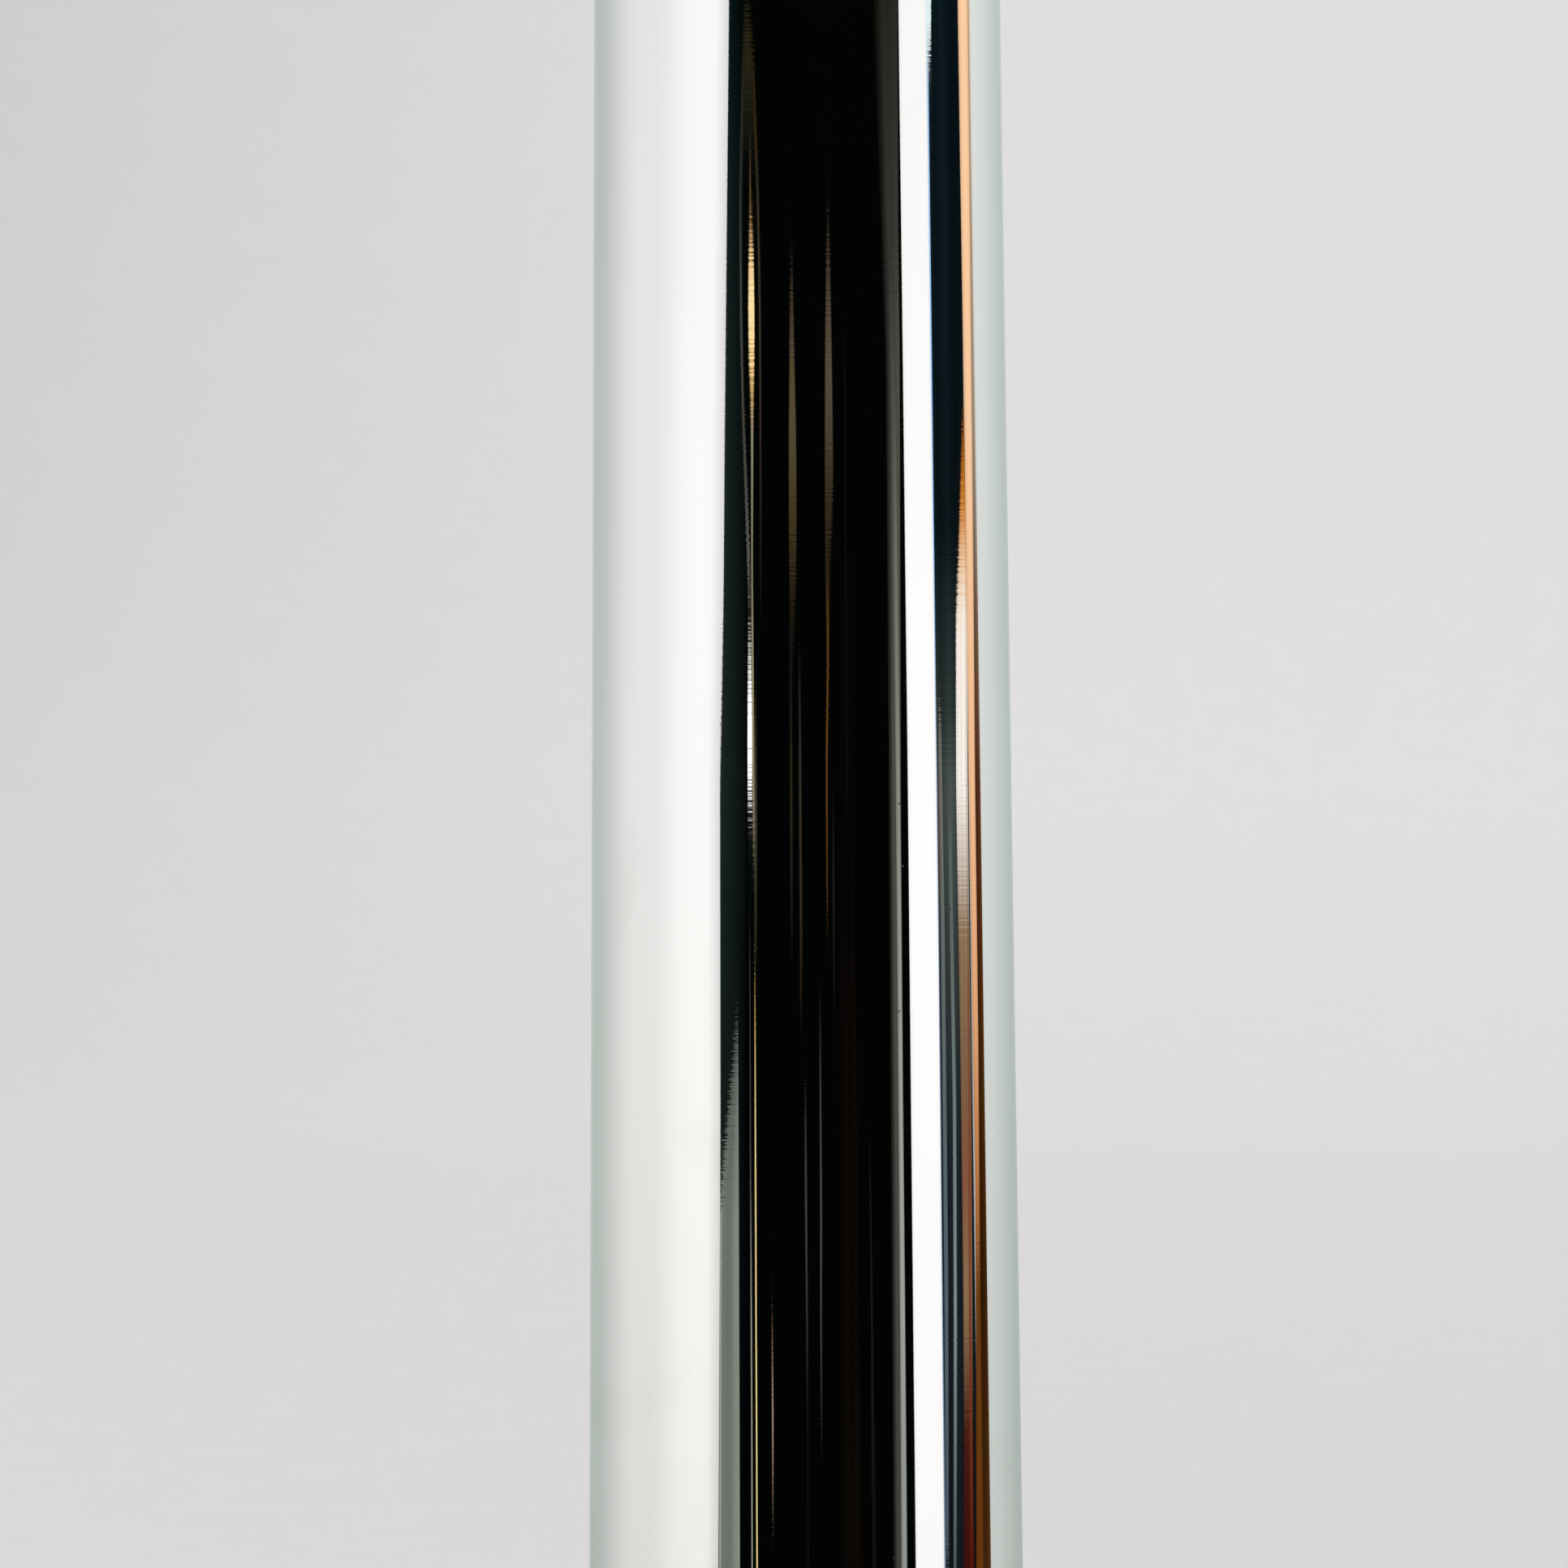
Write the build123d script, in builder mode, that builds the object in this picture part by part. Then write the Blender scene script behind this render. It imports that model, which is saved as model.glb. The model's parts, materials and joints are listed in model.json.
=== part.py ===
from build123d import *
from math import cos, radians
import os

# A free-standing, weighted stand for one indoor flag pole. A spun cover hides a cast-iron ballast, a slim
# tapered column stands on it, and a parallel tube inside the column takes the pole. The turned head at the
# top carries a hand screw whose swivelling pad presses on the pole, and a loose slotted sleeve reduces the
# mouth for a thinner pole. Z is the column's axis, z = 0 is the floor, +X is the hand screw's side.
# All sizes are in millimetres. Profiles of turned pieces are drawn as (radius, height).

os.makedirs("parts", exist_ok=True)

# --- Driving dimensions -------------------------------------------------------------------------------

base_radius = 180
column_middle_height = 240
column_middle_radius = 25.85
column_taper = 0.0088  # radius lost for each millimetre of height
column_wall = 2
full_pole_radius = 19  # the 38 mm pole that the bare socket takes
reduced_pole_radius = 16  # the 32 mm pole that the sleeve takes
pole_play = 0.2
thread_play = 0.05
screw_clearance = 0.3

# Heights above the floor, from the bottom up
plate_bottom = 5
plate_top = 7
hem_top = 8.5
web_bottom = 28
ballast_top = 48
cover_wall = 1.5
cover_top = ballast_top + cover_wall
gasket_top = cover_top + 1
collar_ledge = gasket_top + 5
collar_top = gasket_top + 24
socket_cap_bottom = 109
pole_tube_bottom = 112
pole_rest_bottom = 116
pole_rest_top = 120
head_bottom = 393
column_top = 409
clamp_height = 428
bush_seat = 444
head_top = 451
bush_top = 453.5
sleeve_top = 456.5
sleeve_bottom = 335

# The pole's socket, from the pole outwards
socket_bore = full_pole_radius + pole_play
sleeve_bore = reduced_pole_radius + pole_play
sleeve_radius = socket_bore - 0.25
pole_tube_radius = socket_bore + 1.5

# Distances from the column's axis along the hand screw, from the pole outwards
pad_face = 19.3
pad_front = 20.5
pad_back = 25
boss_end = 37
knob_start = 44
grip_start = 50
knob_end = 66

# Fastener radii and counts
tie_bolt_radius = 8
tie_bolt_hole = 9
plate_screw_radius = 2.5
plate_screw_head = 4.5
foot_count = 6
foot_circle = 150
plate_screw_circle = 104
first_plate_screw = 30  # azimuth in degrees, half way between two feet
dowel_radius = 2.5
dowel_hole_radius = 2.52
dowel_offset = -33
clamp_thread_radius = 5
grub_radius = 3
small_hexagon = 2  # sizes across the flats of the screws' sockets
medium_hexagon = 3

turned_plane = Plane.XZ
clamp_plane = Plane(origin=(0, 0, clamp_height), x_dir=(1, 0, 0), z_dir=(0, -1, 0))
clamp_axis = Axis((0, 0, clamp_height), (1, 0, 0))


def column_radius(height):
    """Outer radius of the tapered column at a height above the floor."""
    return column_middle_radius + column_taper * (column_middle_height - height)


def hexagon_radius(across_flats):
    """Corner radius of a hexagon."""
    return across_flats / 2 / cos(radians(30))


def radial_plane(height, distance, azimuth=0):
    """Plane that faces away from the column's axis, at a height, a distance and an azimuth in degrees."""
    outwards = Vector(1, 0, 0).rotate(Axis.Z, azimuth)
    sideways = Vector(0, 1, 0).rotate(Axis.Z, azimuth)
    return Plane(origin=outwards * distance + Vector(0, 0, height), x_dir=sideways, z_dir=outwards)


def write(piece, name):
    """Label a finished piece and write it as one node."""
    piece.part.label = name
    export_step(piece.part, f"parts/{name}.step")


# --- Base: feet and bottom plate ----------------------------------------------------------------------

foot_radius = 17
foot_recess_radius = 5.5
foot_recess_depth = 3
foot_rounding = 1.5
foot_screw_length = 11
foot_head_height = 2.4
foot_head_rounding = 1
foot_head_radius = foot_recess_radius - 1
foot_head_bottom = foot_recess_depth - foot_head_height

with BuildPart() as rubber_feet:
    with BuildSketch():
        with PolarLocations(foot_circle, foot_count):
            Circle(foot_radius)
    extrude(amount=plate_bottom)
    fillet(rubber_feet.edges().group_by(Axis.Z)[0], radius=foot_rounding)
    with BuildSketch():
        with PolarLocations(foot_circle, foot_count):
            Circle(foot_recess_radius)
    extrude(amount=foot_recess_depth, mode=Mode.SUBTRACT)
    with BuildSketch():
        with PolarLocations(foot_circle, foot_count):
            Circle(plate_screw_radius + screw_clearance)
    extrude(amount=plate_bottom, mode=Mode.SUBTRACT)

write(rubber_feet, "rubber_feet")

# Pan-head screws, each through a foot and the plate into the ballast
with BuildPart() as foot_screws:
    with BuildSketch(Plane.XY.offset(foot_head_bottom)):
        with PolarLocations(foot_circle, foot_count):
            Circle(foot_head_radius)
    extrude(amount=foot_head_height)
    fillet(foot_screws.edges().group_by(Axis.Z)[0], radius=foot_head_rounding)
    with BuildSketch(Plane.XY.offset(foot_recess_depth)):
        with PolarLocations(foot_circle, foot_count):
            Circle(plate_screw_radius)
    extrude(amount=foot_screw_length)
    with BuildSketch(Plane.XY.offset(foot_head_bottom)):
        with PolarLocations(foot_circle, foot_count):
            RegularPolygon(radius=hexagon_radius(medium_hexagon), side_count=6)
    extrude(amount=foot_head_height / 2, mode=Mode.SUBTRACT)

write(foot_screws, "foot_screws")

plate_radius = base_radius - 5
access_radius = 20

with BuildPart() as bottom_plate:
    with BuildSketch(Plane.XY.offset(plate_bottom)):
        Circle(plate_radius)
        Circle(access_radius, mode=Mode.SUBTRACT)
        with PolarLocations(foot_circle, foot_count):
            Circle(plate_screw_radius + screw_clearance, mode=Mode.SUBTRACT)
    extrude(amount=plate_top - plate_bottom)
    with Locations(Plane(origin=(0, 0, plate_bottom), x_dir=(1, 0, 0), z_dir=(0, 0, -1))):
        with PolarLocations(plate_screw_circle, foot_count, start_angle=first_plate_screw):
            CounterSinkHole(
                radius=plate_screw_radius,
                counter_sink_radius=plate_screw_head,
                counter_sink_angle=90,
            )

write(bottom_plate, "bottom_plate")

plate_screw_length = 13

with BuildPart() as bottom_plate_screws:
    with BuildSketch(Plane.XY.offset(plate_bottom)):
        with PolarLocations(plate_screw_circle, foot_count, start_angle=first_plate_screw):
            Circle(plate_screw_head)
    extrude(amount=plate_top - plate_bottom, taper=45)
    with BuildSketch(Plane.XY.offset(plate_top)):
        with PolarLocations(plate_screw_circle, foot_count, start_angle=first_plate_screw):
            Circle(plate_screw_radius)
    extrude(amount=plate_screw_length - plate_top + plate_bottom)
    with BuildSketch(Plane.XY.offset(plate_bottom)):
        with PolarLocations(plate_screw_circle, foot_count, start_angle=first_plate_screw):
            RegularPolygon(radius=hexagon_radius(medium_hexagon), side_count=6)
    extrude(amount=(plate_top - plate_bottom) / 2, mode=Mode.SUBTRACT)

write(bottom_plate_screws, "bottom_plate_screws")

# --- Base: spun cover ---------------------------------------------------------------------------------

hem_radius = base_radius - 12
rim_top = 21
ledge_radius = base_radius - 11
riser = 3
rim_roundings = [2.5, 4, 1.5]
shoulder_radius = 24
shoulder_turn = 44
crown_radius = 46
cover_hole_radius = 12

# Outer line of the cover: hem, rim, ledge, rounded shoulder, concave sweep up to the flat crown
with BuildLine() as cover_line:
    rim = FilletPolyline(
        (hem_radius, plate_top),
        (base_radius, plate_top),
        (base_radius, rim_top),
        (ledge_radius, rim_top),
        (ledge_radius - riser, rim_top + riser),
        radius=rim_roundings,
    )
    shoulder = JernArc(rim @ 1, rim % 1, radius=shoulder_radius, arc_size=shoulder_turn)
    sweep_up = TangentArc(shoulder @ 1, (crown_radius, cover_top), tangent=shoulder % 1)
    Line(sweep_up @ 1, (cover_hole_radius, cover_top))

with BuildPart() as base_cover:
    with BuildSketch(turned_plane):
        with BuildLine():
            add(cover_line.line)
            offset(amount=cover_wall, side=Side.LEFT)
        make_face()
    revolve(axis=Axis.Z)
    with Locations((dowel_offset, 0, cover_top)):
        Hole(radius=dowel_hole_radius)

write(base_cover, "base_cover")

# --- Base: cast ballast -------------------------------------------------------------------------------

cover_gap = 1
hem_gap = 1.5
grip_height = 4
crown_boss_radius = 45
crown_boss_height = 8
pocket_inner_radius = 34
pocket_outer_radius = 134
pocket_depth = 16
pocket_corner = 6
rib_width = 18
draft = 4
dowel_bottom = 40

cover_inset = cover_wall + cover_gap
crown_gap = cover_top - cover_inset
hem_start = hem_radius - hem_gap

with BuildPart() as ballast_casting:
    # The casting follows the cover from inside, meets it at the crown and grips its hem against the plate
    with BuildSketch(turned_plane):
        with BuildLine():
            offset(cover_line.line, amount=cover_inset, side=Side.LEFT, closed=False, mode=Mode.ADD)
            Polyline(
                (cover_hole_radius, crown_gap),
                (tie_bolt_hole, crown_gap),
                (tie_bolt_hole, web_bottom),
                (access_radius, web_bottom),
                (access_radius, plate_top),
                (hem_start, plate_top),
                (hem_start, hem_top + cover_gap),
                (hem_radius, hem_top + cover_gap),
            )
        make_face()
        with Locations((tie_bolt_hole, ballast_top)):
            Rectangle(crown_boss_radius - tie_bolt_hole, crown_boss_height, align=(Align.MIN, Align.MAX))
        with Locations((hem_start, hem_top)):
            Rectangle(plate_radius - hem_start, grip_height, align=(Align.MIN, Align.MIN))
    revolve(axis=Axis.Z)
    # Six pockets between ribs lighten the underside
    with BuildSketch(Plane.XY.offset(plate_top)) as pockets:
        Circle(pocket_outer_radius)
        Circle(pocket_inner_radius, mode=Mode.SUBTRACT)
        with PolarLocations(0, foot_count // 2, start_angle=first_plate_screw):
            Rectangle(2 * pocket_outer_radius, rib_width, mode=Mode.SUBTRACT)
        fillet(pockets.vertices(), radius=pocket_corner)
    extrude(amount=pocket_depth, taper=draft, mode=Mode.SUBTRACT)
    # Tapped holes for the plate's screws and the feet's screws, and the dowel's hole in the crown
    with BuildSketch(Plane.XY.offset(plate_top)):
        with PolarLocations(plate_screw_circle, foot_count, start_angle=first_plate_screw):
            Circle(plate_screw_radius)
        with PolarLocations(foot_circle, foot_count):
            Circle(plate_screw_radius)
    extrude(amount=plate_screw_length, mode=Mode.SUBTRACT)
    with BuildSketch(Plane.XY.offset(dowel_bottom)):
        with Locations((dowel_offset, 0)):
            Circle(dowel_hole_radius)
    extrude(amount=ballast_top - dowel_bottom, mode=Mode.SUBTRACT)

write(ballast_casting, "ballast_casting")

# --- Tie bolt: it draws the column down on the crown, from underneath --------------------------------

gasket_inner_radius = 21
gasket_outer_radius = 43.5
dowel_top = 54
dowel_chamfer = 0.5

with BuildPart() as foot_gasket:
    with BuildSketch(Plane.XY.offset(cover_top)):
        Circle(gasket_outer_radius)
        Circle(gasket_inner_radius, mode=Mode.SUBTRACT)
        with Locations((dowel_offset, 0)):
            Circle(dowel_hole_radius, mode=Mode.SUBTRACT)
    extrude(amount=gasket_top - cover_top)

write(foot_gasket, "foot_gasket")

with BuildPart() as locating_dowel:
    with BuildSketch(Plane.XY.offset(dowel_bottom)):
        with Locations((dowel_offset, 0)):
            Circle(dowel_radius)
    extrude(amount=dowel_top - dowel_bottom)
    chamfer(locating_dowel.edges(), length=dowel_chamfer)

write(locating_dowel, "locating_dowel")

washer_radius = 15
washer_hole = tie_bolt_radius + 0.5
washer_thickness = 3
spring_washer_radius = 13.5
spring_washer_hole = tie_bolt_radius + 0.2
spring_washer_thickness = 3.5
cut_width = 1.5
cut_slant = 3.5
bolt_head_height = 10
bolt_head_across_flats = 24
bolt_head_chamfer = 1.5
bolt_shank_top = 81.5
washer_bottom = web_bottom - washer_thickness
bolt_head_top = washer_bottom - spring_washer_thickness
bolt_head_bottom = bolt_head_top - bolt_head_height

with BuildPart() as tie_washer:
    with BuildSketch(Plane.XY.offset(washer_bottom)):
        Circle(washer_radius)
        Circle(washer_hole, mode=Mode.SUBTRACT)
    extrude(amount=washer_thickness)

write(tie_washer, "tie_washer")

with BuildPart() as spring_washer:
    with BuildSketch(Plane.XY.offset(bolt_head_top)):
        Circle(spring_washer_radius)
        Circle(spring_washer_hole, mode=Mode.SUBTRACT)
    extrude(amount=spring_washer_thickness)
    # The ring is cut through on a slant
    with BuildSketch(Plane.XZ.offset(spring_washer_radius)):
        with BuildLine():
            Polyline(
                (0, bolt_head_top),
                (cut_width, bolt_head_top),
                (cut_width + cut_slant, washer_bottom),
                (cut_slant, washer_bottom),
                close=True,
            )
        make_face()
    extrude(amount=-spring_washer_radius, mode=Mode.SUBTRACT)

write(spring_washer, "spring_washer")

with BuildPart() as tie_bolt:
    with BuildSketch(Plane.XY.offset(bolt_head_bottom)):
        RegularPolygon(radius=hexagon_radius(bolt_head_across_flats), side_count=6)
    extrude(amount=bolt_head_height)
    # The head's corners are turned off below
    with BuildSketch(turned_plane):
        with BuildLine():
            Polyline(
                (0, bolt_head_bottom),
                (bolt_head_across_flats / 2 - bolt_head_chamfer / 3, bolt_head_bottom),
                (hexagon_radius(bolt_head_across_flats), bolt_head_bottom + bolt_head_chamfer),
                (hexagon_radius(bolt_head_across_flats), bolt_head_top),
                (0, bolt_head_top),
                close=True,
            )
        make_face()
    revolve(axis=Axis.Z, mode=Mode.INTERSECT)
    with BuildSketch(Plane.XY.offset(bolt_head_top)):
        Circle(tie_bolt_radius)
    extrude(amount=bolt_shank_top - bolt_head_top)
    chamfer(tie_bolt.edges().group_by(Axis.Z)[-1], length=bolt_head_chamfer)

write(tie_bolt, "tie_bolt")

# --- Column -------------------------------------------------------------------------------------------

collar_radius = 44
plinth_top = gasket_top + 4
cavetto_radius = 8.5
collar_neck = 33
bead_radius = 3
bead_middle = gasket_top + 17.5
cove_radius = 2
lip_radius = 29.5
plinth_roundings = [0.8, 1.5]
column_clearance = 0.05
collar_bore = column_radius(collar_ledge) + column_clearance

with BuildPart() as foot_collar:
    with BuildSketch(turned_plane):
        with BuildLine():
            plinth = FilletPolyline(
                (access_radius, gasket_top),
                (collar_radius, gasket_top),
                (collar_radius, plinth_top),
                (collar_neck + cavetto_radius, plinth_top),
                radius=plinth_roundings,
            )
            cavetto = CenterArc(
                (collar_neck + cavetto_radius, plinth_top + cavetto_radius), cavetto_radius, 270, -90
            )
            Line(cavetto @ 1, (collar_neck, bead_middle - bead_radius))
            bead = CenterArc((collar_neck, bead_middle), bead_radius, -90, 180)
            Line(bead @ 1, (lip_radius + cove_radius, bead_middle + bead_radius))
            cove = CenterArc(
                (lip_radius + cove_radius, bead_middle + bead_radius + cove_radius), cove_radius, 270, -90
            )
            Polyline(
                cove @ 1,
                (lip_radius, collar_top),
                (collar_bore, collar_top),
                (collar_bore, collar_ledge),
                (access_radius, collar_ledge),
                plinth @ 0,
            )
        make_face()
    revolve(axis=Axis.Z)
    with BuildSketch(Plane.XY.offset(gasket_top)):
        with Locations((dowel_offset, 0)):
            Circle(dowel_hole_radius)
    extrude(amount=dowel_top - gasket_top, mode=Mode.SUBTRACT)

write(foot_collar, "foot_collar")

with BuildPart() as column:
    with BuildSketch(turned_plane):
        with BuildLine():
            Polyline(
                (column_radius(collar_ledge) - column_wall, collar_ledge),
                (column_radius(collar_ledge), collar_ledge),
                (column_radius(column_top), column_top),
                (column_radius(column_top) - column_wall, column_top),
                close=True,
            )
        make_face()
    revolve(axis=Axis.Z)

write(column, "column")

plug_top = 85.5
plug_chamfer = 1

with BuildPart() as column_plug:
    with BuildSketch(turned_plane) as plug_profile:
        with BuildLine():
            Polyline(
                (tie_bolt_radius + thread_play, collar_ledge),
                (column_radius(collar_ledge) - column_wall - thread_play, collar_ledge),
                (column_radius(plug_top) - column_wall - thread_play, plug_top),
                (tie_bolt_radius + thread_play, plug_top),
                close=True,
            )
        make_face()
        chamfer(plug_profile.vertices(), length=plug_chamfer)
    revolve(axis=Axis.Z)

write(column_plug, "column_plug")

# --- Pole socket inside the column --------------------------------------------------------------------

drain_radius = 3
window_radius = 6.2
rest_play = 0.3
rest_radius = socket_bore - rest_play
rest_recess_radius = reduced_pole_radius + rest_play
rest_recess_depth = 2
ring_bottom = 118
ring_top = 133
ring_flute_radius = 3
ring_flute_count = 9
cap_chamfer = 1

with BuildPart() as pole_tube:
    with BuildSketch(Plane.XY.offset(pole_tube_bottom)):
        Circle(pole_tube_radius)
        Circle(socket_bore, mode=Mode.SUBTRACT)
    extrude(amount=bush_seat - pole_tube_bottom)
    # The window that the hand screw's pad comes through
    with BuildSketch(radial_plane(clamp_height, 0)):
        Circle(window_radius)
    extrude(amount=pole_tube_radius, mode=Mode.SUBTRACT)

write(pole_tube, "pole_tube")

with BuildPart() as pole_tube_cap:
    with BuildSketch(Plane.XY.offset(socket_cap_bottom)):
        Circle(pole_tube_radius)
    extrude(amount=pole_tube_bottom - socket_cap_bottom)
    with BuildSketch(Plane.XY.offset(pole_tube_bottom)):
        Circle(socket_bore - thread_play)
    extrude(amount=pole_rest_bottom - pole_tube_bottom)
    chamfer(pole_tube_cap.edges().group_by(Axis.Z)[0], length=cap_chamfer)
    with Locations((0, 0, pole_rest_bottom)):
        Hole(radius=drain_radius)

write(pole_tube_cap, "pole_tube_cap")

with BuildPart() as pole_rest:
    with BuildSketch(Plane.XY.offset(pole_rest_bottom)):
        Circle(rest_radius)
    extrude(amount=pole_rest_top - pole_rest_bottom)
    with Locations((0, 0, pole_rest_top)):
        CounterBoreHole(
            radius=drain_radius,
            counter_bore_radius=rest_recess_radius,
            counter_bore_depth=rest_recess_depth,
        )

write(pole_rest, "pole_rest")

# The ring's outside tapers with the column and its flutes let damp air out
with BuildPart() as centring_ring:
    with BuildSketch(turned_plane):
        with BuildLine():
            Polyline(
                (pole_tube_radius + thread_play, ring_bottom),
                (column_radius(ring_bottom) - column_wall - thread_play, ring_bottom),
                (column_radius(ring_top) - column_wall - thread_play, ring_top),
                (pole_tube_radius + thread_play, ring_top),
                close=True,
            )
        make_face()
    revolve(axis=Axis.Z)
    with BuildSketch(Plane.XY.offset(ring_bottom)):
        with PolarLocations(column_radius(ring_bottom) - column_wall, ring_flute_count):
            Circle(ring_flute_radius)
    extrude(amount=ring_top - ring_bottom, mode=Mode.SUBTRACT)

write(centring_ring, "centring_ring")

# --- Head ---------------------------------------------------------------------------------------------

head_bead_radius = 33
head_barrel_radius = 30.5
head_bead_height = 7
head_slope = 2.5
head_roundings = [3, 2.5, 2.5, 2.5, 2.5, 3]
head_counterbore = column_radius(head_bottom) + column_clearance
bush_seat_radius = 22.5
bush_seat_chamfer = 0.5
clamp_boss_radius = 9
boss_root = 24
boss_fillet = 1.8
boss_chamfer = 1
pad_pocket_end = 26
grub_height = 404
grub_azimuths = [60, 180, 300]
grub_length = 5.5
grub_start = column_radius(grub_height) + column_clearance

with BuildPart() as socket_head:
    with BuildSketch(turned_plane):
        with BuildLine():
            outside = FilletPolyline(
                (head_counterbore, head_bottom),
                (head_bead_radius, head_bottom),
                (head_bead_radius, head_bottom + head_bead_height),
                (head_barrel_radius, head_bottom + head_bead_height + head_slope),
                (head_barrel_radius, head_top - head_bead_height - head_slope),
                (head_bead_radius, head_top - head_bead_height),
                (head_bead_radius, head_top),
                (bush_seat_radius + bush_seat_chamfer, head_top),
                radius=head_roundings,
            )
            Polyline(
                outside @ 1,
                (bush_seat_radius, head_top - bush_seat_chamfer),
                (bush_seat_radius, bush_seat),
                (pole_tube_radius + thread_play, bush_seat),
                (pole_tube_radius + thread_play, column_top),
                (head_counterbore, column_top),
                outside @ 0,
            )
        make_face()
    revolve(axis=Axis.Z)
    # The boss that carries the hand screw runs into the barrel with a small fillet
    with BuildSketch(radial_plane(clamp_height, boss_root)):
        Circle(clamp_boss_radius)
    extrude(amount=boss_end - boss_root)
    boss_foot = socket_head.edges().filter_by(lambda e: e.geom_type not in (GeomType.CIRCLE, GeomType.LINE))
    fillet(boss_foot, radius=boss_fillet)
    chamfer(socket_head.edges().group_by(Axis.X)[-1], length=boss_chamfer)
    # The screw's thread, and the pocket that the pad withdraws into
    with BuildSketch(radial_plane(clamp_height, 0)):
        Circle(clamp_thread_radius)
    extrude(amount=boss_end, mode=Mode.SUBTRACT)
    with BuildSketch(radial_plane(clamp_height, 0)):
        Circle(window_radius)
    extrude(amount=pad_pocket_end, mode=Mode.SUBTRACT)
    # Three tapped holes for the grub screws that hold the head to the column
    for azimuth in grub_azimuths:
        with BuildSketch(radial_plane(grub_height, 0, azimuth)):
            Circle(grub_radius)
        extrude(amount=head_bead_radius, mode=Mode.SUBTRACT)

write(socket_head, "socket_head")

with BuildPart() as head_set_screws:
    for azimuth in grub_azimuths:
        with BuildSketch(radial_plane(grub_height, grub_start, azimuth)):
            Circle(grub_radius)
        extrude(amount=grub_length)
        with BuildSketch(radial_plane(grub_height, grub_start + grub_length, azimuth)):
            RegularPolygon(radius=hexagon_radius(medium_hexagon), side_count=6)
        extrude(amount=-grub_length / 2, mode=Mode.SUBTRACT)

write(head_set_screws, "head_set_screws")

bush_flange_radius = 25.5
bush_bore = socket_bore + thread_play
bush_roundings = [0.3, 0.2, 0.6, 1.2]

with BuildPart() as mouth_bush:
    with BuildSketch(turned_plane):
        with BuildLine():
            bush_outside = FilletPolyline(
                (bush_bore, bush_seat),
                (bush_seat_radius - thread_play, bush_seat),
                (bush_seat_radius - thread_play, head_top),
                (bush_flange_radius, head_top),
                (bush_flange_radius, bush_top),
                (bush_bore, bush_top),
                radius=bush_roundings,
            )
            Line(bush_outside @ 1, bush_outside @ 0)
        make_face()
    revolve(axis=Axis.Z)

write(mouth_bush, "mouth_bush")

# --- Reducing sleeve ----------------------------------------------------------------------------------

sleeve_flange_radius = 24
sleeve_roundings = [0.6, 0.3, 0.6, 1.2, 1]
slot_width = 13
slot_top = 436

with BuildPart() as reducing_sleeve:
    with BuildSketch(turned_plane):
        with BuildLine():
            sleeve_outside = FilletPolyline(
                (sleeve_bore, sleeve_bottom),
                (sleeve_radius, sleeve_bottom),
                (sleeve_radius, bush_top),
                (sleeve_flange_radius, bush_top),
                (sleeve_flange_radius, sleeve_top),
                (sleeve_bore, sleeve_top),
                (sleeve_bore, slot_top),
                radius=sleeve_roundings,
            )
            Line(sleeve_outside @ 1, sleeve_outside @ 0)
        make_face()
    revolve(axis=Axis.Z)
    # The pad works through this slot, and the sleeve is drawn out past it
    with BuildSketch(Plane.YZ):
        with Locations((0, sleeve_bottom)):
            Rectangle(slot_width, slot_top - slot_width / 2 - sleeve_bottom, align=(Align.CENTER, Align.MIN))
        with Locations((0, slot_top - slot_width / 2)):
            Circle(slot_width / 2)
    extrude(amount=sleeve_flange_radius, mode=Mode.SUBTRACT)

write(reducing_sleeve, "reducing_sleeve")

# --- Hand screw: the profiles are drawn as (distance from the column's axis, radius) ------------------

pad_radius = 5.9
pad_chamfer = 0.6
pad_recess_radius = 3.05
pad_recess_end = 22.4
clip_groove_start = 23.4
clip_groove_end = 24.3
clip_groove_radius = 4.4
clip_inner_radius = 2.3
clip_outer_radius = 4
clip_play = 0.1
screw_spigot_radius = 2.97
screw_spigot_end = 22.5
screw_spigot_chamfer = 0.3
screw_groove_radius = 2.25
screw_shoulder = 25.3
screw_chamfer = 1
screw_radius = clamp_thread_radius - thread_play
shank_radius = 4
shank_end = 59.5

with BuildPart() as clamp_pad:
    with BuildSketch(clamp_plane):
        with BuildLine():
            Polyline(
                (pad_front, 0),
                (pad_front, pad_radius),
                (pad_back - pad_chamfer, pad_radius),
                (pad_back, pad_radius - pad_chamfer),
                (pad_back, pad_recess_radius),
                (clip_groove_end, pad_recess_radius),
                (clip_groove_end, clip_groove_radius),
                (clip_groove_start, clip_groove_radius),
                (clip_groove_start, pad_recess_radius),
                (pad_recess_end, pad_recess_radius),
                (pad_recess_end, 0),
                close=True,
            )
        make_face()
    revolve(axis=clamp_axis)

write(clamp_pad, "clamp_pad")

facing_radius = 5.6
facing_chamfer = 0.3

with BuildPart() as pad_facing:
    with BuildSketch(radial_plane(clamp_height, pad_face)):
        Circle(facing_radius)
    extrude(amount=pad_front - pad_face)
    chamfer(pad_facing.edges().group_by(Axis.X)[0], length=facing_chamfer)

write(pad_facing, "pad_facing")

with BuildPart() as pad_circlip:
    with BuildSketch(radial_plane(clamp_height, clip_groove_start + clip_play)):
        Circle(clip_outer_radius)
        Circle(clip_inner_radius, mode=Mode.SUBTRACT)
        Rectangle(clip_inner_radius, clip_outer_radius, align=(Align.CENTER, Align.MAX), mode=Mode.SUBTRACT)
    extrude(amount=clip_groove_end - clip_groove_start - 2 * clip_play)

write(pad_circlip, "pad_circlip")

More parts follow.
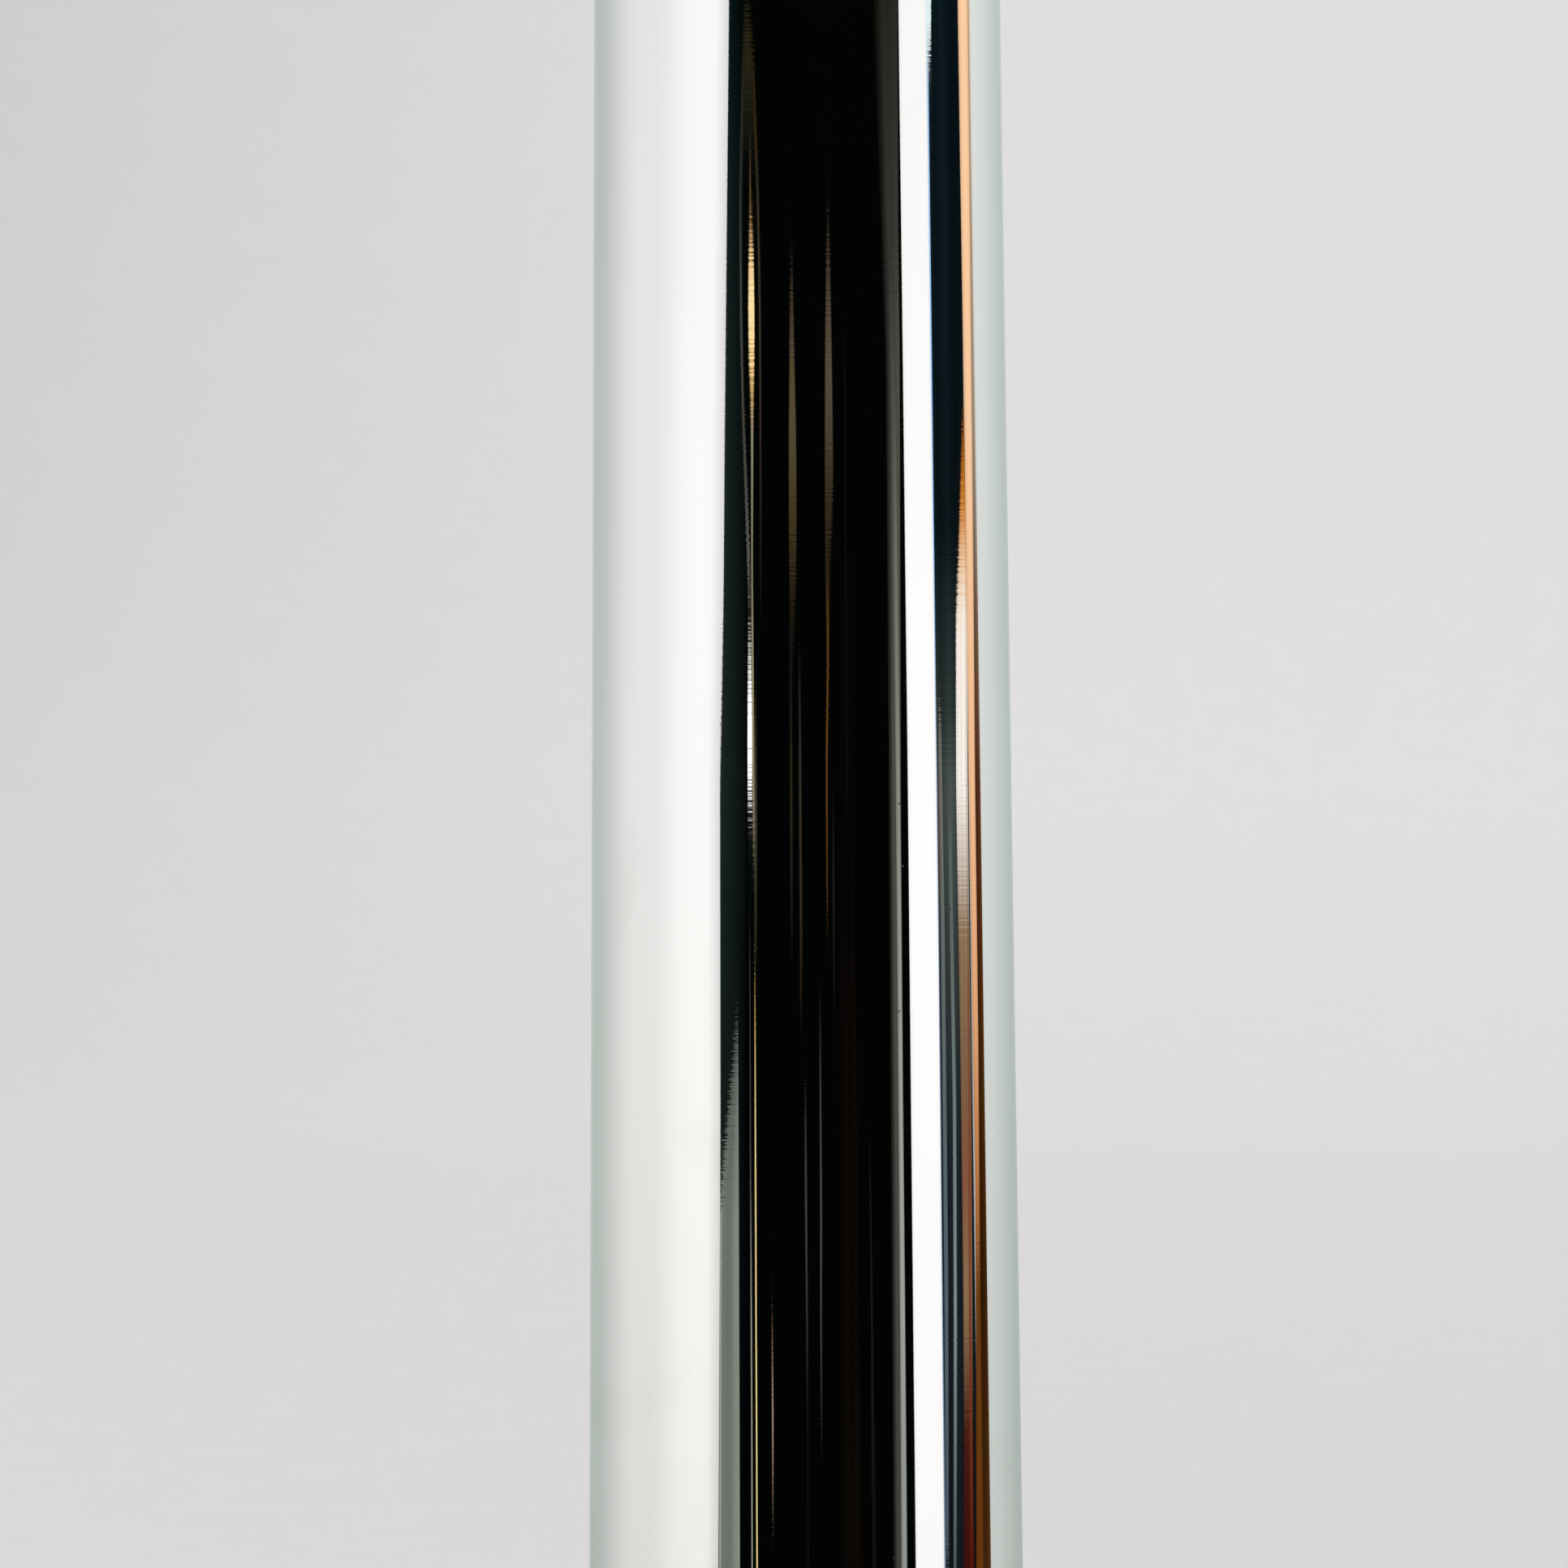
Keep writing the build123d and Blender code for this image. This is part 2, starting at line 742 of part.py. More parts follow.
with BuildPart() as clamp_screw:
    with BuildSketch(clamp_plane):
        with BuildLine():
            Polyline(
                (screw_spigot_end, 0),
                (screw_spigot_end, screw_spigot_radius - screw_spigot_chamfer),
                (screw_spigot_end + screw_spigot_chamfer, screw_spigot_radius),
                (clip_groove_start, screw_spigot_radius),
                (clip_groove_start, screw_groove_radius),
                (clip_groove_end, screw_groove_radius),
                (clip_groove_end, screw_spigot_radius),
                (screw_shoulder, screw_spigot_radius),
                (screw_shoulder, screw_radius - screw_chamfer),
                (screw_shoulder + screw_chamfer, screw_radius),
                (knob_start, screw_radius),
                (knob_start, shank_radius),
                (shank_end, shank_radius),
                (shank_end, 0),
                close=True,
            )
        make_face()
    revolve(axis=clamp_axis)

write(clamp_screw, "clamp_screw")

hub_radius = 10
grip_radius = 18
flute_radius = 6
flute_circle = 22
flute_count = 7
flute_rounding = 1.5
grip_margin = 0.5
grip_back = 4
grip_shoulder = 5
dome_drop = 2.5
dome_radius = 13
dome_roundings = [2, 3, 4, 9]
hub_chamfer = 0.8
hub_overlap = 3
insert_radius = 6.5
insert_bore = shank_radius + 0.02
insert_end = 60
knob_grub_radius = 2
knob_grub_distance = 47
knob_grub_length = 5

with BuildPart() as clamp_knob:
    # The grip is a fluted star, rounded over by a turned form
    with BuildSketch(radial_plane(clamp_height, grip_start)) as star:
        Circle(grip_radius)
        with PolarLocations(flute_circle, flute_count):
            Circle(flute_radius, mode=Mode.SUBTRACT)
        fillet(star.vertices(), radius=flute_rounding)
    extrude(amount=knob_end - grip_start)
    with BuildSketch(clamp_plane):
        with BuildLine():
            crown = FilletPolyline(
                (grip_start, 0),
                (grip_start, hub_radius),
                (grip_start + grip_back, grip_radius + grip_margin),
                (knob_end - grip_shoulder, grip_radius + grip_margin),
                (knob_end - dome_drop, dome_radius),
                (knob_end, 0),
                radius=dome_roundings,
            )
            Line(crown @ 1, crown @ 0)
        make_face()
    revolve(axis=clamp_axis, mode=Mode.INTERSECT)
    with BuildSketch(radial_plane(clamp_height, knob_start)):
        Circle(hub_radius)
    extrude(amount=grip_start - knob_start + hub_overlap)
    chamfer(clamp_knob.edges().group_by(Axis.X)[0], length=hub_chamfer)
    with BuildSketch(radial_plane(clamp_height, knob_start)):
        Circle(insert_radius)
    extrude(amount=insert_end - knob_start, mode=Mode.SUBTRACT)
    with BuildSketch(Plane.XY.offset(clamp_height)):
        with Locations((knob_grub_distance, 0)):
            Circle(knob_grub_radius)
    extrude(amount=grip_radius, mode=Mode.SUBTRACT)

write(clamp_knob, "clamp_knob")

with BuildPart() as knob_insert:
    with BuildSketch(radial_plane(clamp_height, knob_start)):
        Circle(insert_radius)
        Circle(insert_bore, mode=Mode.SUBTRACT)
    extrude(amount=insert_end - knob_start)
    with BuildSketch(Plane.XY.offset(clamp_height)):
        with Locations((knob_grub_distance, 0)):
            Circle(knob_grub_radius)
    extrude(amount=grip_radius, mode=Mode.SUBTRACT)

write(knob_insert, "knob_insert")

with BuildPart() as knob_grub_screw:
    with BuildSketch(Plane.XY.offset(clamp_height + shank_radius + thread_play)):
        with Locations((knob_grub_distance, 0)):
            Circle(knob_grub_radius)
    extrude(amount=knob_grub_length)
    with BuildSketch(Plane.XY.offset(clamp_height + shank_radius + thread_play + knob_grub_length)):
        with Locations((knob_grub_distance, 0)):
            RegularPolygon(radius=hexagon_radius(small_hexagon), side_count=6)
    extrude(amount=-knob_grub_length / 2, mode=Mode.SUBTRACT)

write(knob_grub_screw, "knob_grub_screw")
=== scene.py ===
import json
from math import acos, atan2, ceil, cos, degrees, hypot, pi, radians, sin, sqrt, tan
import bpy
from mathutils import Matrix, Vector


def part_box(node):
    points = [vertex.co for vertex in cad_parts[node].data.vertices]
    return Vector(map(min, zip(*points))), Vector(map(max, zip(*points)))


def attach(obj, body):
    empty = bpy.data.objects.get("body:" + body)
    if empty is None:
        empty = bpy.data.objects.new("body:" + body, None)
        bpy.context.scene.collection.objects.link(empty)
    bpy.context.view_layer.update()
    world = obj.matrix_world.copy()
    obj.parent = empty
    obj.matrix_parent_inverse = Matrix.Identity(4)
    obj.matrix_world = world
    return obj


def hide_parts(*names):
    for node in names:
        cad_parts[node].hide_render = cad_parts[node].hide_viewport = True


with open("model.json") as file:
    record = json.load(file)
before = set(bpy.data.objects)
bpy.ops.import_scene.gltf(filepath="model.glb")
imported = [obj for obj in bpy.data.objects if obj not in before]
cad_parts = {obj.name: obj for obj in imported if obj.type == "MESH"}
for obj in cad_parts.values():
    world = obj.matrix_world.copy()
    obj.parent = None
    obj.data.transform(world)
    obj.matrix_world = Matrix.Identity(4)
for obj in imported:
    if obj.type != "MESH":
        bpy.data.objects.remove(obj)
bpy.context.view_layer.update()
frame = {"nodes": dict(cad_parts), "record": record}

# A weighted chrome stand for one flag pole. Z is the column's axis and the floor is z = 0.
# Shop sizes below are in millimetres; the scene itself is in metres.
mm = 0.001


def linearColour(hexCode):
    channels = [int(hexCode[i:i + 2], 16) / 255 for i in (0, 2, 4)]
    return [c / 12.92 if c <= 0.04045 else ((c + 0.055) / 1.055) ** 2.4 for c in channels] + [1.0]


def addNode(tree, kind, settings=None, links=None):
    # a setting is a property of the node if it has one of that name, or else one of its sockets
    node = tree.nodes.new("ShaderNode" + kind)
    for name, value in (settings or {}).items():
        if isinstance(name, str) and hasattr(node, name):
            setattr(node, name, value)
        else:
            node.inputs[name].default_value = value
    for socket, source in (links or {}).items():
        tree.links.new(source, node.inputs[socket])
    return node


def newMaterial(name):
    material = bpy.data.materials.new(name)
    material.use_nodes = True
    tree = material.node_tree
    tree.nodes.clear()
    return material, tree


def newFinish(name):
    # a material whose patterns sit on the piece itself
    material, tree = newMaterial(name)
    return material, tree, addNode(tree, "TexCoord").outputs["Object"]


def surfaced(material, shader):
    # joins the finished shader to the material's output
    addNode(material.node_tree, "OutputMaterial", links={"Surface": shader.outputs[0]})
    return material


def setMaterial(piece, material):
    piece.data.materials.clear()
    piece.data.materials.append(material)


def fillRamp(ramp, stops):
    elements = ramp.color_ramp.elements
    while len(elements) < len(stops):
        elements.new(0.5)
    for element, (position, value) in zip(elements, stops):
        element.position = position
        element.color = linearColour(value) if isinstance(value, str) else (value, value, value, 1)


def deselectAll():
    if bpy.context.object and bpy.context.object.mode != "OBJECT":
        bpy.ops.object.mode_set(mode="OBJECT")
    bpy.ops.object.select_all(action="DESELECT")


def activate(piece):
    deselectAll()
    piece.select_set(True)
    bpy.context.view_layer.objects.active = piece


def smooth(piece, angle=32):
    activate(piece)
    bpy.ops.object.shade_smooth_by_angle(angle=radians(angle))


def joined(pieces, name):
    activate(pieces[0])
    for piece in pieces[1:]:
        piece.select_set(True)
    bpy.ops.object.join()
    pieces[0].name = name
    return pieces[0]


def combine(piece, tool, operation):
    # boolean with a second solid, which is used up
    activate(piece)
    step = piece.modifiers.new(operation.lower(), "BOOLEAN")
    step.operation = operation
    step.solver = "EXACT"
    step.object = tool
    bpy.ops.object.modifier_apply(modifier=step.name)
    bpy.data.objects.remove(tool, do_unlink=True)


def rod(radius, start, end, height, azimuth=0, vertices=64):
    # plain cylinder that points away from the column's axis, for cutting a hole
    deselectAll()
    a = radians(azimuth)
    middle = (start + end) / 2
    bpy.ops.mesh.primitive_cylinder_add(
        vertices=vertices, radius=radius * mm, depth=(end - start) * mm,
        location=(middle * cos(a) * mm, middle * sin(a) * mm, height * mm), rotation=(0, pi / 2, a))
    bpy.ops.object.transform_apply(location=True, rotation=True, scale=True)
    return bpy.context.object


def upright(radius, bottom, top, x=0.0, y=0.0, vertices=48):
    # plain upright cylinder for cutting a hole
    deselectAll()
    bpy.ops.mesh.primitive_cylinder_add(vertices=vertices, radius=radius * mm, depth=(top - bottom) * mm,
                                        location=(x * mm, y * mm, (bottom + top) / 2 * mm))
    bpy.ops.object.transform_apply(location=True, rotation=True, scale=True)
    return bpy.context.object


def rounded(corners, finest=0.35):
    # Outline in millimetres with its corners rounded: each corner is (x, y) or (x, y, radius)
    outline = []
    for i, corner in enumerate(corners):
        here = Vector(corner[:2])
        if len(corner) == 2 or i in (0, len(corners) - 1):
            outline.append(here)
            continue
        before = (Vector(corners[i - 1][:2]) - here).normalized()
        after = (Vector(corners[i + 1][:2]) - here).normalized()
        halfAngle = acos(max(-1, min(1, before.dot(after)))) / 2
        radius = corner[2]
        reach = radius / tan(halfAngle)
        middle = here + (before + after).normalized() * radius / sin(halfAngle)
        start = here + before * reach - middle
        turn = pi - 2 * halfAngle
        if start.x * after.y - start.y * after.x < 0:
            turn = -turn
        steps = max(4, ceil(abs(turn) * radius / finest))
        for k in range(steps + 1):
            a = turn * k / steps
            outline.append(middle + Vector((start.x * cos(a) - start.y * sin(a),
                                            start.x * sin(a) + start.y * cos(a))))
    return outline


def arc(centre, radius, startDegrees, endDegrees, steps):
    angles = [radians(startDegrees + (endDegrees - startDegrees) * k / steps) for k in range(steps + 1)]
    return [Vector((centre[0] + radius * cos(a), centre[1] + radius * sin(a))) for a in angles]


def divided(outline, longest):
    # puts points along the long straights, so that no facet is far larger than its neighbours
    finer = [outline[0]]
    for a, b in zip(outline, outline[1:]):
        steps = max(1, ceil((b - a).length / longest))
        finer += [a.lerp(b, (k + 1) / steps) for k in range(steps)]
    return finer


def inset(outline, distance):
    # the same line moved to its left, for the inside of a sheet
    moved = []
    for i, point in enumerate(outline):
        ahead = outline[min(i + 1, len(outline) - 1)] - point
        behind = point - outline[max(i - 1, 0)]
        along = (ahead.normalized() + behind.normalized()).normalized()
        moved.append(point + Vector((-along.y, along.x)) * distance)
    return moved


def drawn(name, points):
    # draws a line from point to point and stays in edit mode
    deselectAll()
    bpy.ops.mesh.primitive_plane_add(size=mm, location=(0, 0, 0))
    piece = bpy.context.object
    piece.name = name
    bpy.ops.object.mode_set(mode="EDIT")
    bpy.ops.mesh.select_all(action="SELECT")
    bpy.ops.mesh.merge(type="CENTER")
    bpy.ops.transform.translate(value=points[0])
    for a, b in zip(points, points[1:]):
        bpy.ops.mesh.extrude_region_move(TRANSFORM_OT_translate={"value": b - a})
    return piece


def turned(name, outline, steps=192, alongX=False, height=0.0, closed=True):
    # Draws half a section and spins it. The outline is (radius, height) in millimetres,
    # or (distance, radius) about a line along X at the given height.
    points = [Vector((p[0], 0, p[1])) * mm + Vector((0, 0, height)) for p in outline]
    if closed:
        points.append(points[0])
    piece = drawn(name, points)
    bpy.ops.mesh.select_all(action="SELECT")
    bpy.ops.mesh.remove_doubles(threshold=1e-7)
    axis = (1, 0, 0) if alongX else (0, 0, 1)
    bpy.ops.mesh.spin(steps=steps, angle=2 * pi, center=(0, 0, height), axis=axis)
    bpy.ops.mesh.select_all(action="SELECT")
    bpy.ops.mesh.remove_doubles(threshold=1e-6)
    bpy.ops.mesh.normals_make_consistent(inside=False)
    bpy.ops.object.mode_set(mode="OBJECT")
    smooth(piece)
    return piece


def finishPiece(piece, node, slot, body):
    setMaterial(piece, finishes[slot])
    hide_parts(node)
    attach(piece, body)


columnLow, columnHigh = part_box("column")

cameraSettings = {
    "height": 0.240,       # level with the middle of the column
    "distance": 0.750,
    "frameWidth": 0.1932,  # width of view at the column's axis
    "aside": -0.00216,     # stands a little to the left of the axis
    "lean": 0.33,          # roll in degrees
    "sensor": 36.0,
}


def makeCamera(s):
    data = bpy.data.cameras.new("productCamera")
    data.sensor_width = s["sensor"]
    data.lens = s["sensor"] * s["distance"] / s["frameWidth"]
    data.clip_end = 60
    camera = bpy.data.objects.new("productCamera", data)
    bpy.context.scene.collection.objects.link(camera)
    camera.location = (s["aside"], -s["distance"], s["height"])
    camera.rotation_euler = (pi / 2, radians(s["lean"]), 0)
    bpy.context.scene.camera = camera


makeCamera(cameraSettings)
bpy.context.scene.view_settings.view_transform = "Standard"
print("camera ready")

studio = {
    "floorReach": 5.0,
    "coveRadius": 1.5,
    "wallHeight": 3.2,
    "washStart": 1.2,      # from here outwards, wash light keeps the paper as bright as near the stand
    "washEnd": 5.0,
    "washGlow": 0.22,
    "washGlowLeft": 0.0726,  # weaker where the key light already reaches
    "skyStrength": 1.0,
    "cardDistance": 0.95,  # the reflected cards stand on this circle
    "cardTop": 1.1,
    "floorCardStart": 0.22,
    "seen": 1.8,           # glow that the metal gives back as the tone that was asked for
    "overheadPlace": (-0.25, -0.15, 1.7),
    "overheadRadius": 0.62,
    "overheadGlow": (2.6, 1.5),  # middle, rim
    "keyPlace": (-1.1, -0.7, 1.7),
    "keyAim": (0, 0, 0.25),
    "keySize": 1.0,
    "keyPower": 9,
}


def paperMaterial(s):
    # Matt seamless studio paper: even, with no gloss and a very light fibre mottle, washed with light
    # up the wall
    material, tree = newMaterial("seamlessPaper")
    place = addNode(tree, "TexCoord")
    fibre = addNode(tree, "TexNoise", {"Scale": 1 / (30 * mm), "Detail": 3.0},
                    {"Vector": place.outputs["Object"]})
    tone = addNode(tree, "ValToRGB", links={"Fac": fibre.outputs["Fac"]})
    fillRamp(tone, [(0, "DBDBDA"), (1, "DDDDDC")])
    paper = addNode(tree, "BsdfDiffuse", {"Roughness": 0.9}, {"Color": tone.outputs["Color"]})
    reach = addNode(tree, "VectorMath", {"operation": "LENGTH"}, {0: place.outputs["Object"]})
    outwards = addNode(tree, "MapRange", {"From Min": s["washStart"], "From Max": s["washEnd"]},
                       {"Value": reach.outputs["Value"]})
    rise = addNode(tree, "ValToRGB", links={"Fac": outwards.outputs["Result"]})
    fillRamp(rise, [(0, 0.0), (0.23, 0.16), (0.47, 0.29), (0.6, 0.40), (0.7, 0.56), (0.82, 0.82),
                    (1, 1.0)])
    split = addNode(tree, "SeparateXYZ", links={"Vector": place.outputs["Object"]})
    fall = addNode(tree, "MapRange", {"From Min": -1.0, "From Max": 0.1, "To Min": s["washGlowLeft"],
                                      "To Max": s["washGlow"]}, {"Value": split.outputs["X"]})
    wash = addNode(tree, "Emission",
                   links={"Color": rise.outputs["Color"], "Strength": fall.outputs["Result"]})
    lit = addNode(tree, "AddShader", links={0: paper.outputs["BSDF"], 1: wash.outputs["Emission"]})
    return surfaced(material, lit)


def makeCove(s):
    # floor, curve and wall in one sweep, all the way round
    curve = arc((s["floorReach"] - s["coveRadius"], s["coveRadius"]), s["coveRadius"], -90, 0, 16)
    outline = [Vector((0, 0)), Vector((1.0, 0))] + curve + [Vector((s["floorReach"], s["wallHeight"]))]
    cove = turned("studioCove", [p / mm for p in outline], steps=96, closed=False)
    smooth(cove, 60)
    setMaterial(cove, paperMaterial(s))


def cardMaterial():
    # Glowing card: each one carries its own colours in the mesh
    material, tree = newMaterial("studioCard")
    glow = addNode(tree, "Attribute", {"attribute_name": "glow"})
    light = addNode(tree, "Emission", {"Strength": 1.0}, {"Color": glow.outputs["Color"]})
    material.cycles.emission_sampling = "NONE"
    return surfaced(material, light)


def between(stops, place):
    # value at a place in a list of (place, value), straight between the stops
    for (a, low), (b, high) in zip(stops, stops[1:]):
        if place <= b:
            share = max(0.0, (place - a) / (b - a))
            return low + (high - low) * share
    return stops[-1][1]


def placeCard(sheet):
    # only glossy surfaces see a card
    setMaterial(sheet, studioCard)
    for ray in ("camera", "diffuse", "shadow", "transmission"):
        setattr(sheet, "visible_" + ray, False)


def card(name, rows, across=((0, 1.0), (1, 1.0)), strength=None, back=0.0, onFloor=False, tint=None):
    # An upright curved card that only the polished metal sees. Each row is (height, left, right, colour)
    # from the bottom up, in metres and in degrees round the stand: 0 is towards the camera, positive is its
    # right. Across multiplies the glow from left to right, and tint colours it as far as its stops say.
    strength = strength or studio["seen"]
    distance = studio["cardDistance"] + back
    rings = [(height, distance, *rest) for height, *rest in rows]
    if onFloor:
        # the card's foot turns in towards the stand, just above the floor
        foot, *rest = rows[0]
        rings[0] = (max(foot, 0.004), distance, *rest)
        rings.insert(0, (0.003, distance, *rest))
        rings.insert(0, (0.002 - back * mm, studio["floorCardStart"], *rest))
    width = max(abs(right - left) for height, reach, left, right, colour in rings)
    steps = max(2, ceil(width / 1.5))
    deselectAll()
    bpy.ops.mesh.primitive_grid_add(x_subdivisions=steps, y_subdivisions=len(rings) - 1, size=1)
    sheet = bpy.context.object
    sheet.name = name
    glow = sheet.data.attributes.new("glow", "FLOAT_COLOR", "POINT")
    for v in sheet.data.vertices:
        share = v.co.x + 0.5
        height, reach, left, right, colour = rings[round((v.co.y + 0.5) * (len(rings) - 1))]
        a = radians(left + (right - left) * share)
        v.co = (reach * sin(a), -reach * cos(a), height)
        level = strength * between(across, share)
        tone = [c * level for c in linearColour(colour)[:3]]
        if tint:
            tone = [c * (1 + (t - 1) * between(tint[1], share)) for c, t in zip(tone, tint[0])]
        glow.data[v.index].color = tone + [1.0]
    placeCard(sheet)


def makeWideCards(s):
    top = s["cardTop"]
    # big softbox on the left, brightest near its edge, green-grey where it falls away behind the stand
    card("softboxLeft",
         [(0, -47, -180, "F0F1EF"), (0.165, -44.7, -180, "FCFDFB"), (0.255, -44.6, -180, "FFFFFF"),
          (0.305, -42.3, -180, "FFFFFF"), (0.35, -41.4, -180, "FFFFFF"), (0.47, -38.2, -180, "FDFEFF"),
          (top, -38, -180, "FDFEFF")], onFloor=True, strength=1.0,
         across=[(0, 1.25), (0.05, 1.68), (0.1, 1.72), (0.19, 1.64), (0.27, 1.47), (0.32, 1.41),
                 (0.42, 1.40), (0.48, 1.33), (0.61, 1.05), (0.68, 0.91), (0.83, 0.74), (1, 0.67)],
         tint=((0.965, 1.02, 0.995), ((0, 0.0), (0.6, 0.0), (0.72, 1.0), (1, 1.0))))
    # black velvet in front of the stand, blue-green along its left edge
    card("blackVelvet",
         [(0, -48.5, 60, "020403"), (0.47, -48.5, 60, "020403"), (0.6, -48.5, 60, "0A0C0D"),
          (0.8, -48.5, 60, "24282A")], onFloor=True, back=0.03)
    card("velvetEdge",
         [(0, -47, -31, "000306"), (0.175, -44.7, -31, "0C1413"), (0.255, -44.7, -30, "121C19"),
          (0.35, -41.2, -30, "101918"), (0.47, -38, -30, "060F10"), (0.8, -37, -30, "060F10")],
         onFloor=True, back=0.02,
         across=[(0, 1.5), (0.4, 1.1), (1, 0.35)])
    card("stripLight",
         [(0, 58.9, 76.6, "F8F8F8"), (0.165, 58.9, 77.5, "FCFCFC"), (0.255, 59, 77.4, "FDFDFD"),
          (0.34, 58.7, 76.9, "FBFBFB"), (0.47, 58.1, 76.6, "F6F7F7"), (top, 58, 76.6, "F6F7F7")],
         onFloor=True,
         across=[(0, 0.92), (0.1, 1.0), (0.9, 1.0), (1, 0.93)])
    card("stripTop",
         [(0.445, 76.2, 77, "9AB0BA"), (0.455, 76.2, 79.8, "DDEFF2"), (0.5, 76.2, 81.5, "DDEFF2"),
          (0.8, 76.2, 81.5, "DDEFF2")], back=-0.01)
    card("blueEdge",
         [(0, 76.5, 77.4, "8796A8"), (0.16, 77.3, 77.9, "8FB4DA"), (0.25, 77.2, 77.9, "A6C0E0"),
          (0.34, 76.9, 77.8, "9CC8F6"), (0.47, 76.5, 77.7, "94BFEA"), (0.8, 76.5, 77.7, "94BFEA")])
    # dark side of the room, with cold and warm shadows in it
    card("darkSide",
         [(0, 76, 102.5, "0C1318"), (0.145, 76, 102.5, "182026"), (0.21, 76, 102.5, "343A38"),
          (0.25, 76, 102.5, "444C48"), (0.27, 76, 102.5, "2A3332"), (0.32, 76, 102.5, "0A1519"),
          (top, 76, 103, "10202A")], onFloor=True, back=0.02,
         across=[(0, 1.3), (0.2, 0.7), (0.45, 1.25), (0.7, 0.55), (1, 0.7)])
    card("peachCard",
         [(0.035, 100.5, 106.8, "66380F"), (0.11, 103.1, 107.2, "6A3C14"), (0.14, 104, 107.8, "B87440"),
          (0.18, 103.4, 108.4, "DCA070"), (0.25, 102.6, 108.5, "F2BE94"),
          (0.345, 102.8, 110.1, "FACAA0"), (0.465, 101.8, 111.3, "FFD0A4"),
          (top, 101.5, 111.5, "FFD2A8")], onFloor=True,
         across=[(0, 0.66), (0.2, 0.92), (0.55, 1.0), (0.85, 0.9), (1, 0.72)])
    card("brownTrim",
         [(0, 106.6, 113.8, "4A2A12"), (0.11, 107, 113.8, "331C06"), (0.18, 108.2, 113.8, "41240A"),
          (0.25, 108.3, 113.7, "502B18"), (0.295, 109, 113.6, "6A5040"),
          (0.345, 109.9, 113.5, "978A7A"), (0.465, 111.1, 113.1, "BFA68C"),
          (0.8, 111.3, 113.1, "BFA68C")], onFloor=True,
         across=[(0, 0.9), (0.4, 0.75), (0.75, 1.25), (1, 1.6)])
    # pale card that runs on behind the stand and greens as it goes
    card("paleCard",
         [(0, 113.7, 180, "DCE0DD"), (0.25, 113.6, 180, "EEF3F2"), (0.465, 113.1, 180, "F6FAF9"),
          (top, 113, 180, "F6FAF9")], onFloor=True, back=0.02,
         across=[(0, 0.70), (0.04, 0.76), (0.16, 0.72), (0.35, 0.62), (0.65, 0.47), (1, 0.36)],
         tint=((0.98, 1.005, 0.99), ((0, 0.0), (0.15, 0.3), (0.3, 1.0), (1, 1.2))))


